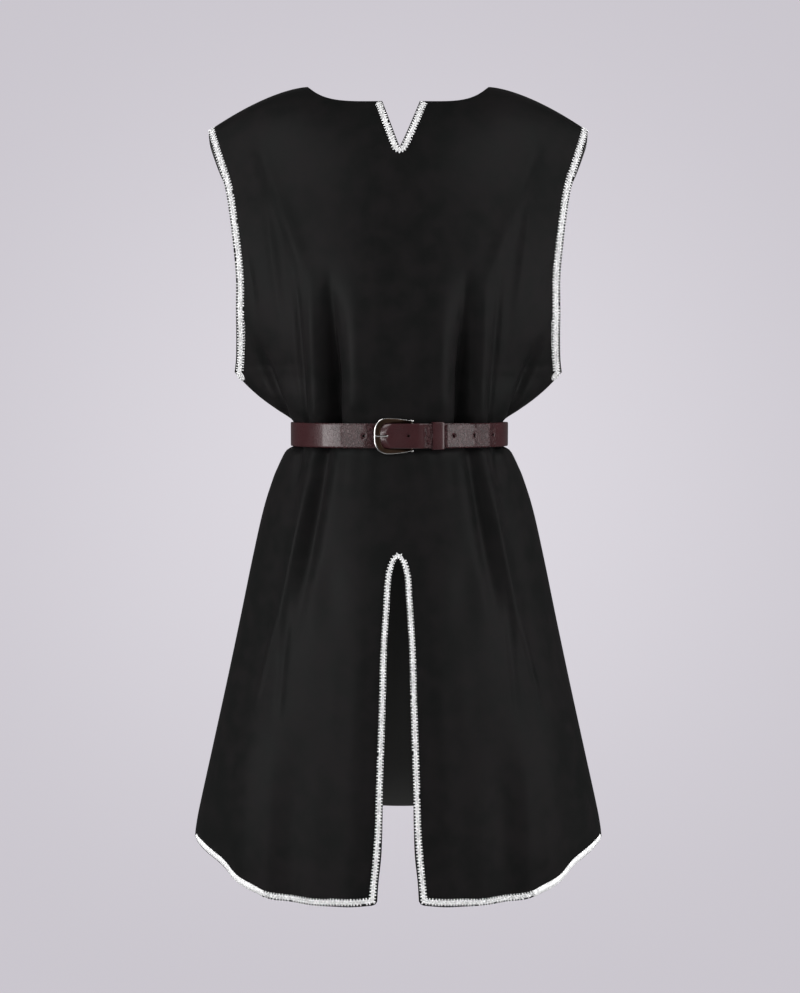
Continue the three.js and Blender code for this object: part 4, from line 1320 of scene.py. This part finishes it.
# The prong's middle line: x, height over the cloth, radius.
PRONG = ((15.5, 4, 1.5), (10, 3.7, 1.4), (5, 3.2, 1.3), (0, 2.6, 1.3), (-4, 2.2, 1.3),
         (-9, 4.2, 1.3), (-12, 6.8, 1.3), (-15, 8, 1.3), (-19, 8.6, 1.3), (-24, 9, 1.25),
         (-27, 9.5, 1.15), (-29.4, 9.9, 0.9), (-30.1, 9.95, 0.4))


def buckle_prong():
    """The prong, painted dark brown as shade and the leather's reflection where it lies in the
    buckle, and its eye round the bar.
    """
    k = np.linspace(0, len(PRONG) - 1, 60)
    x, lift, r = resampled(np.array(PRONG), np.arange(len(PRONG)), k).T
    middle = waist(turn_at(x), lift, BELT_MID)
    up = np.array([0, 0, 1])
    side = np.cross(unit(np.gradient(middle, axis=0)), up)
    angle = np.linspace(0, FULL_TURN, 15)[None, :, None]
    ring = side[:, None] * np.cos(angle) + up * np.sin(angle)
    points = middle[:, None] + ring * r[:, None, None]
    bm = bmesh.new()
    add_grid(bm, points, ring, turn_closed=True)
    # Painted shade: the part under the buckle gets the dark brown metal, for the shade it lies in
    # and the leather it reflects.
    for face in bm.faces:
        if face.calc_center_median().x > -11 * MM:
            face.material_index = 1
    close_ends(bm)
    add_pin(bm, 3.4, 5.4, 24)
    new_piece("prong", bm, [metal_finish, reflection_and_shade_finish], "metal", "buckle_prong")


def back_hem_threads():
    """The row of small stitches that holds the back's turned hem."""
    x = np.linspace(-284, 284, 300)
    line = BACK.at(x, back_hem(x) + 14)
    at = lengths(line)
    spot = resampled(line, at, np.arange(2, at[-1] - 1, 3.1))
    run = unit(np.gradient(spot, axis=0))
    up = square_to(np.array([0, 1, 0]), run)
    bm = bmesh.new()
    bm.verts.layers.float.new("tone")
    lay(bm, spot, up, run, (0.3, 0.22, 1.3), 0, np.full(len(spot), 0.5))
    new_piece("back_hem_threads", bm, [thread_finish], "cloth")


# Studio


def studio():
    """A pale paper bowl round the dress, glowing with painted light that is brightest behind the
    middle of the dress.
    """
    floor_z, radius, sweep = -3.4, 8.0, 4.0
    bm = bmesh.new()
    profile = [(0.0, floor_z)]
    for k in range(13):
        a = math.pi / 2 * k / 12
        profile.append((radius - sweep + sweep * math.sin(a), floor_z + sweep * (1 - math.cos(a))))
    profile.append((radius, 5.0))
    verts = [bm.verts.new((r, 0, z)) for r, z in profile]
    edges = [bm.edges.new(pair) for pair in zip(verts, verts[1:])]
    bmesh.ops.spin(bm, geom=verts + edges, cent=(0, 0, 0), axis=(0, 0, 1), dvec=(0, 0, 0),
                   angle=2 * math.pi, steps=64, use_merge=True, use_duplicate=False)
    bmesh.ops.remove_doubles(bm, verts=bm.verts[:], dist=1e-5)
    bmesh.ops.recalc_face_normals(bm, faces=bm.faces[:])
    bmesh.ops.reverse_faces(bm, faces=bm.faces[:])
    pale = Finish("studio_paper", Roughness=1.0, Specular_IOR_Level=0.0, Emission_Strength=1.0)
    pale.shader.inputs["Base Color"].default_value = (0.02, 0.02, 0.02, 1)
    # Painted light: the paper's glow is brightest behind the dress and dims with distance from
    # there, like a pool of light.
    away = pale.node("ShaderNodeVectorMath", {"operation": "DISTANCE"},
                     {0: pale.place(), 1: (0, radius, -1.1)}, output=1)
    paper = pale.blend(pale.between(away, 0.0, 4.4), (0.722, 0.695, 0.748), (0.588, 0.562, 0.612))
    pale.feed(pale.shader.inputs["Emission Color"], paper)
    floor = smooth_object("studio_floor", bm, pale)
    # Only the camera sees the paper, so the dress reflects the lights and not the paper.
    for rays in ("diffuse", "glossy", "transmission", "shadow"):
        setattr(floor, f"visible_{rays}", False)


def soft_light(name, power, size, place, diffuse=True, glossy=True):
    """A soft light that looks at the dress, seen in its shine, in its shading or in both."""
    light = bpy.data.lights.new(name, "AREA")
    light.shape = "RECTANGLE"
    light.size, light.size_y = size
    light.energy = power
    holder = placed(name, light)
    holder.location = place
    aim = Vector((0, 0, -0.55)) - Vector(place)
    holder.rotation_euler = aim.to_track_quat("-Z", "Y").to_euler()
    holder.visible_camera = False
    holder.visible_diffuse = diffuse
    holder.visible_glossy = glossy


def lights():
    """Tall strips at the sides give the belt its two shines, and wide fills light the cloth.

    The strips show in the shine alone, and the fills in the shading alone.
    """
    for name, turn, width, power in (
        ("left", -60, 0.9, 21), ("near_left", -38, 0.9, 9), ("right", 57, 1.1, 14),
        ("far_right", 82, 0.9, 6),
    ):
        a = math.radians(turn)
        place = (2.5 * math.sin(a), -2.5 * math.cos(a), -0.5)
        soft_light(f"strip_{name}", power, (width, 1.1), place, diffuse=False)
    soft_light("fill_left", 66, (1.6, 2.2), (-2.5, -0.8, -0.5), glossy=False)
    soft_light("fill_right", 62, (1.6, 2.2), (2.5, -0.8, -0.5), glossy=False)
    soft_light("fill_front", 24, (2.4, 2.2), (0, -2.4, -0.5), glossy=False)
    soft_light("fill_back", 125, (2.4, 2.0), (0, 2.6, -0.2), glossy=False)
    for name, x in (("left", -1.7), ("right", 1.7)):
        soft_light(f"top_{name}", 26, (1.6, 1.2), (x, -1.3, 1.3))
    soft_light("floor", 8, (2.0, 1.6), (0, -0.8, -2.5))
    world = bpy.data.worlds.new("studio_air")
    world.use_nodes = True
    air = world.node_tree.nodes["Background"].inputs
    air["Color"].default_value = (1.0, 0.99, 1.0, 1)
    air["Strength"].default_value = 0.09
    bpy.context.scene.world = world


def photo_camera():
    lens = bpy.data.cameras.new("camera")
    lens.lens = 52.5
    lens.sensor_width = 36
    lens.clip_end = 60
    camera = placed("camera", lens)
    camera.location = (0.0026, -2.1, -0.438)
    camera.rotation_euler = (math.radians(90 - 4.01), 0, 0)
    bpy.context.scene.camera = camera
    bpy.context.scene.view_settings.view_transform = "Standard"


belt_strap()
belt_fold()
belt_keeper()
buckle_frame()
buckle_prong()
cloth_panel("front_cloth", FRONT, "front_panel", (4.4, 24, 36))
cloth_panel("back_cloth", BACK, "back_panel", (4.8, 28, 36))
stitched_braid("notch_stitches", "notch_braid", notch_band())
stitched_braid("slit_stitches", "slit_braid", slit_band())
for half, side in ((1, "left"), (-1, "right")):
    stitched_braid(f"hem_stitches_{side}", f"hem_braid_{side}", hem_band(half), tape_from=188)
    armhole_braid(f"armhole_stitches_{side}", f"armhole_braid_{side}", half)
back_hem_threads()
studio()
lights()
photo_camera()
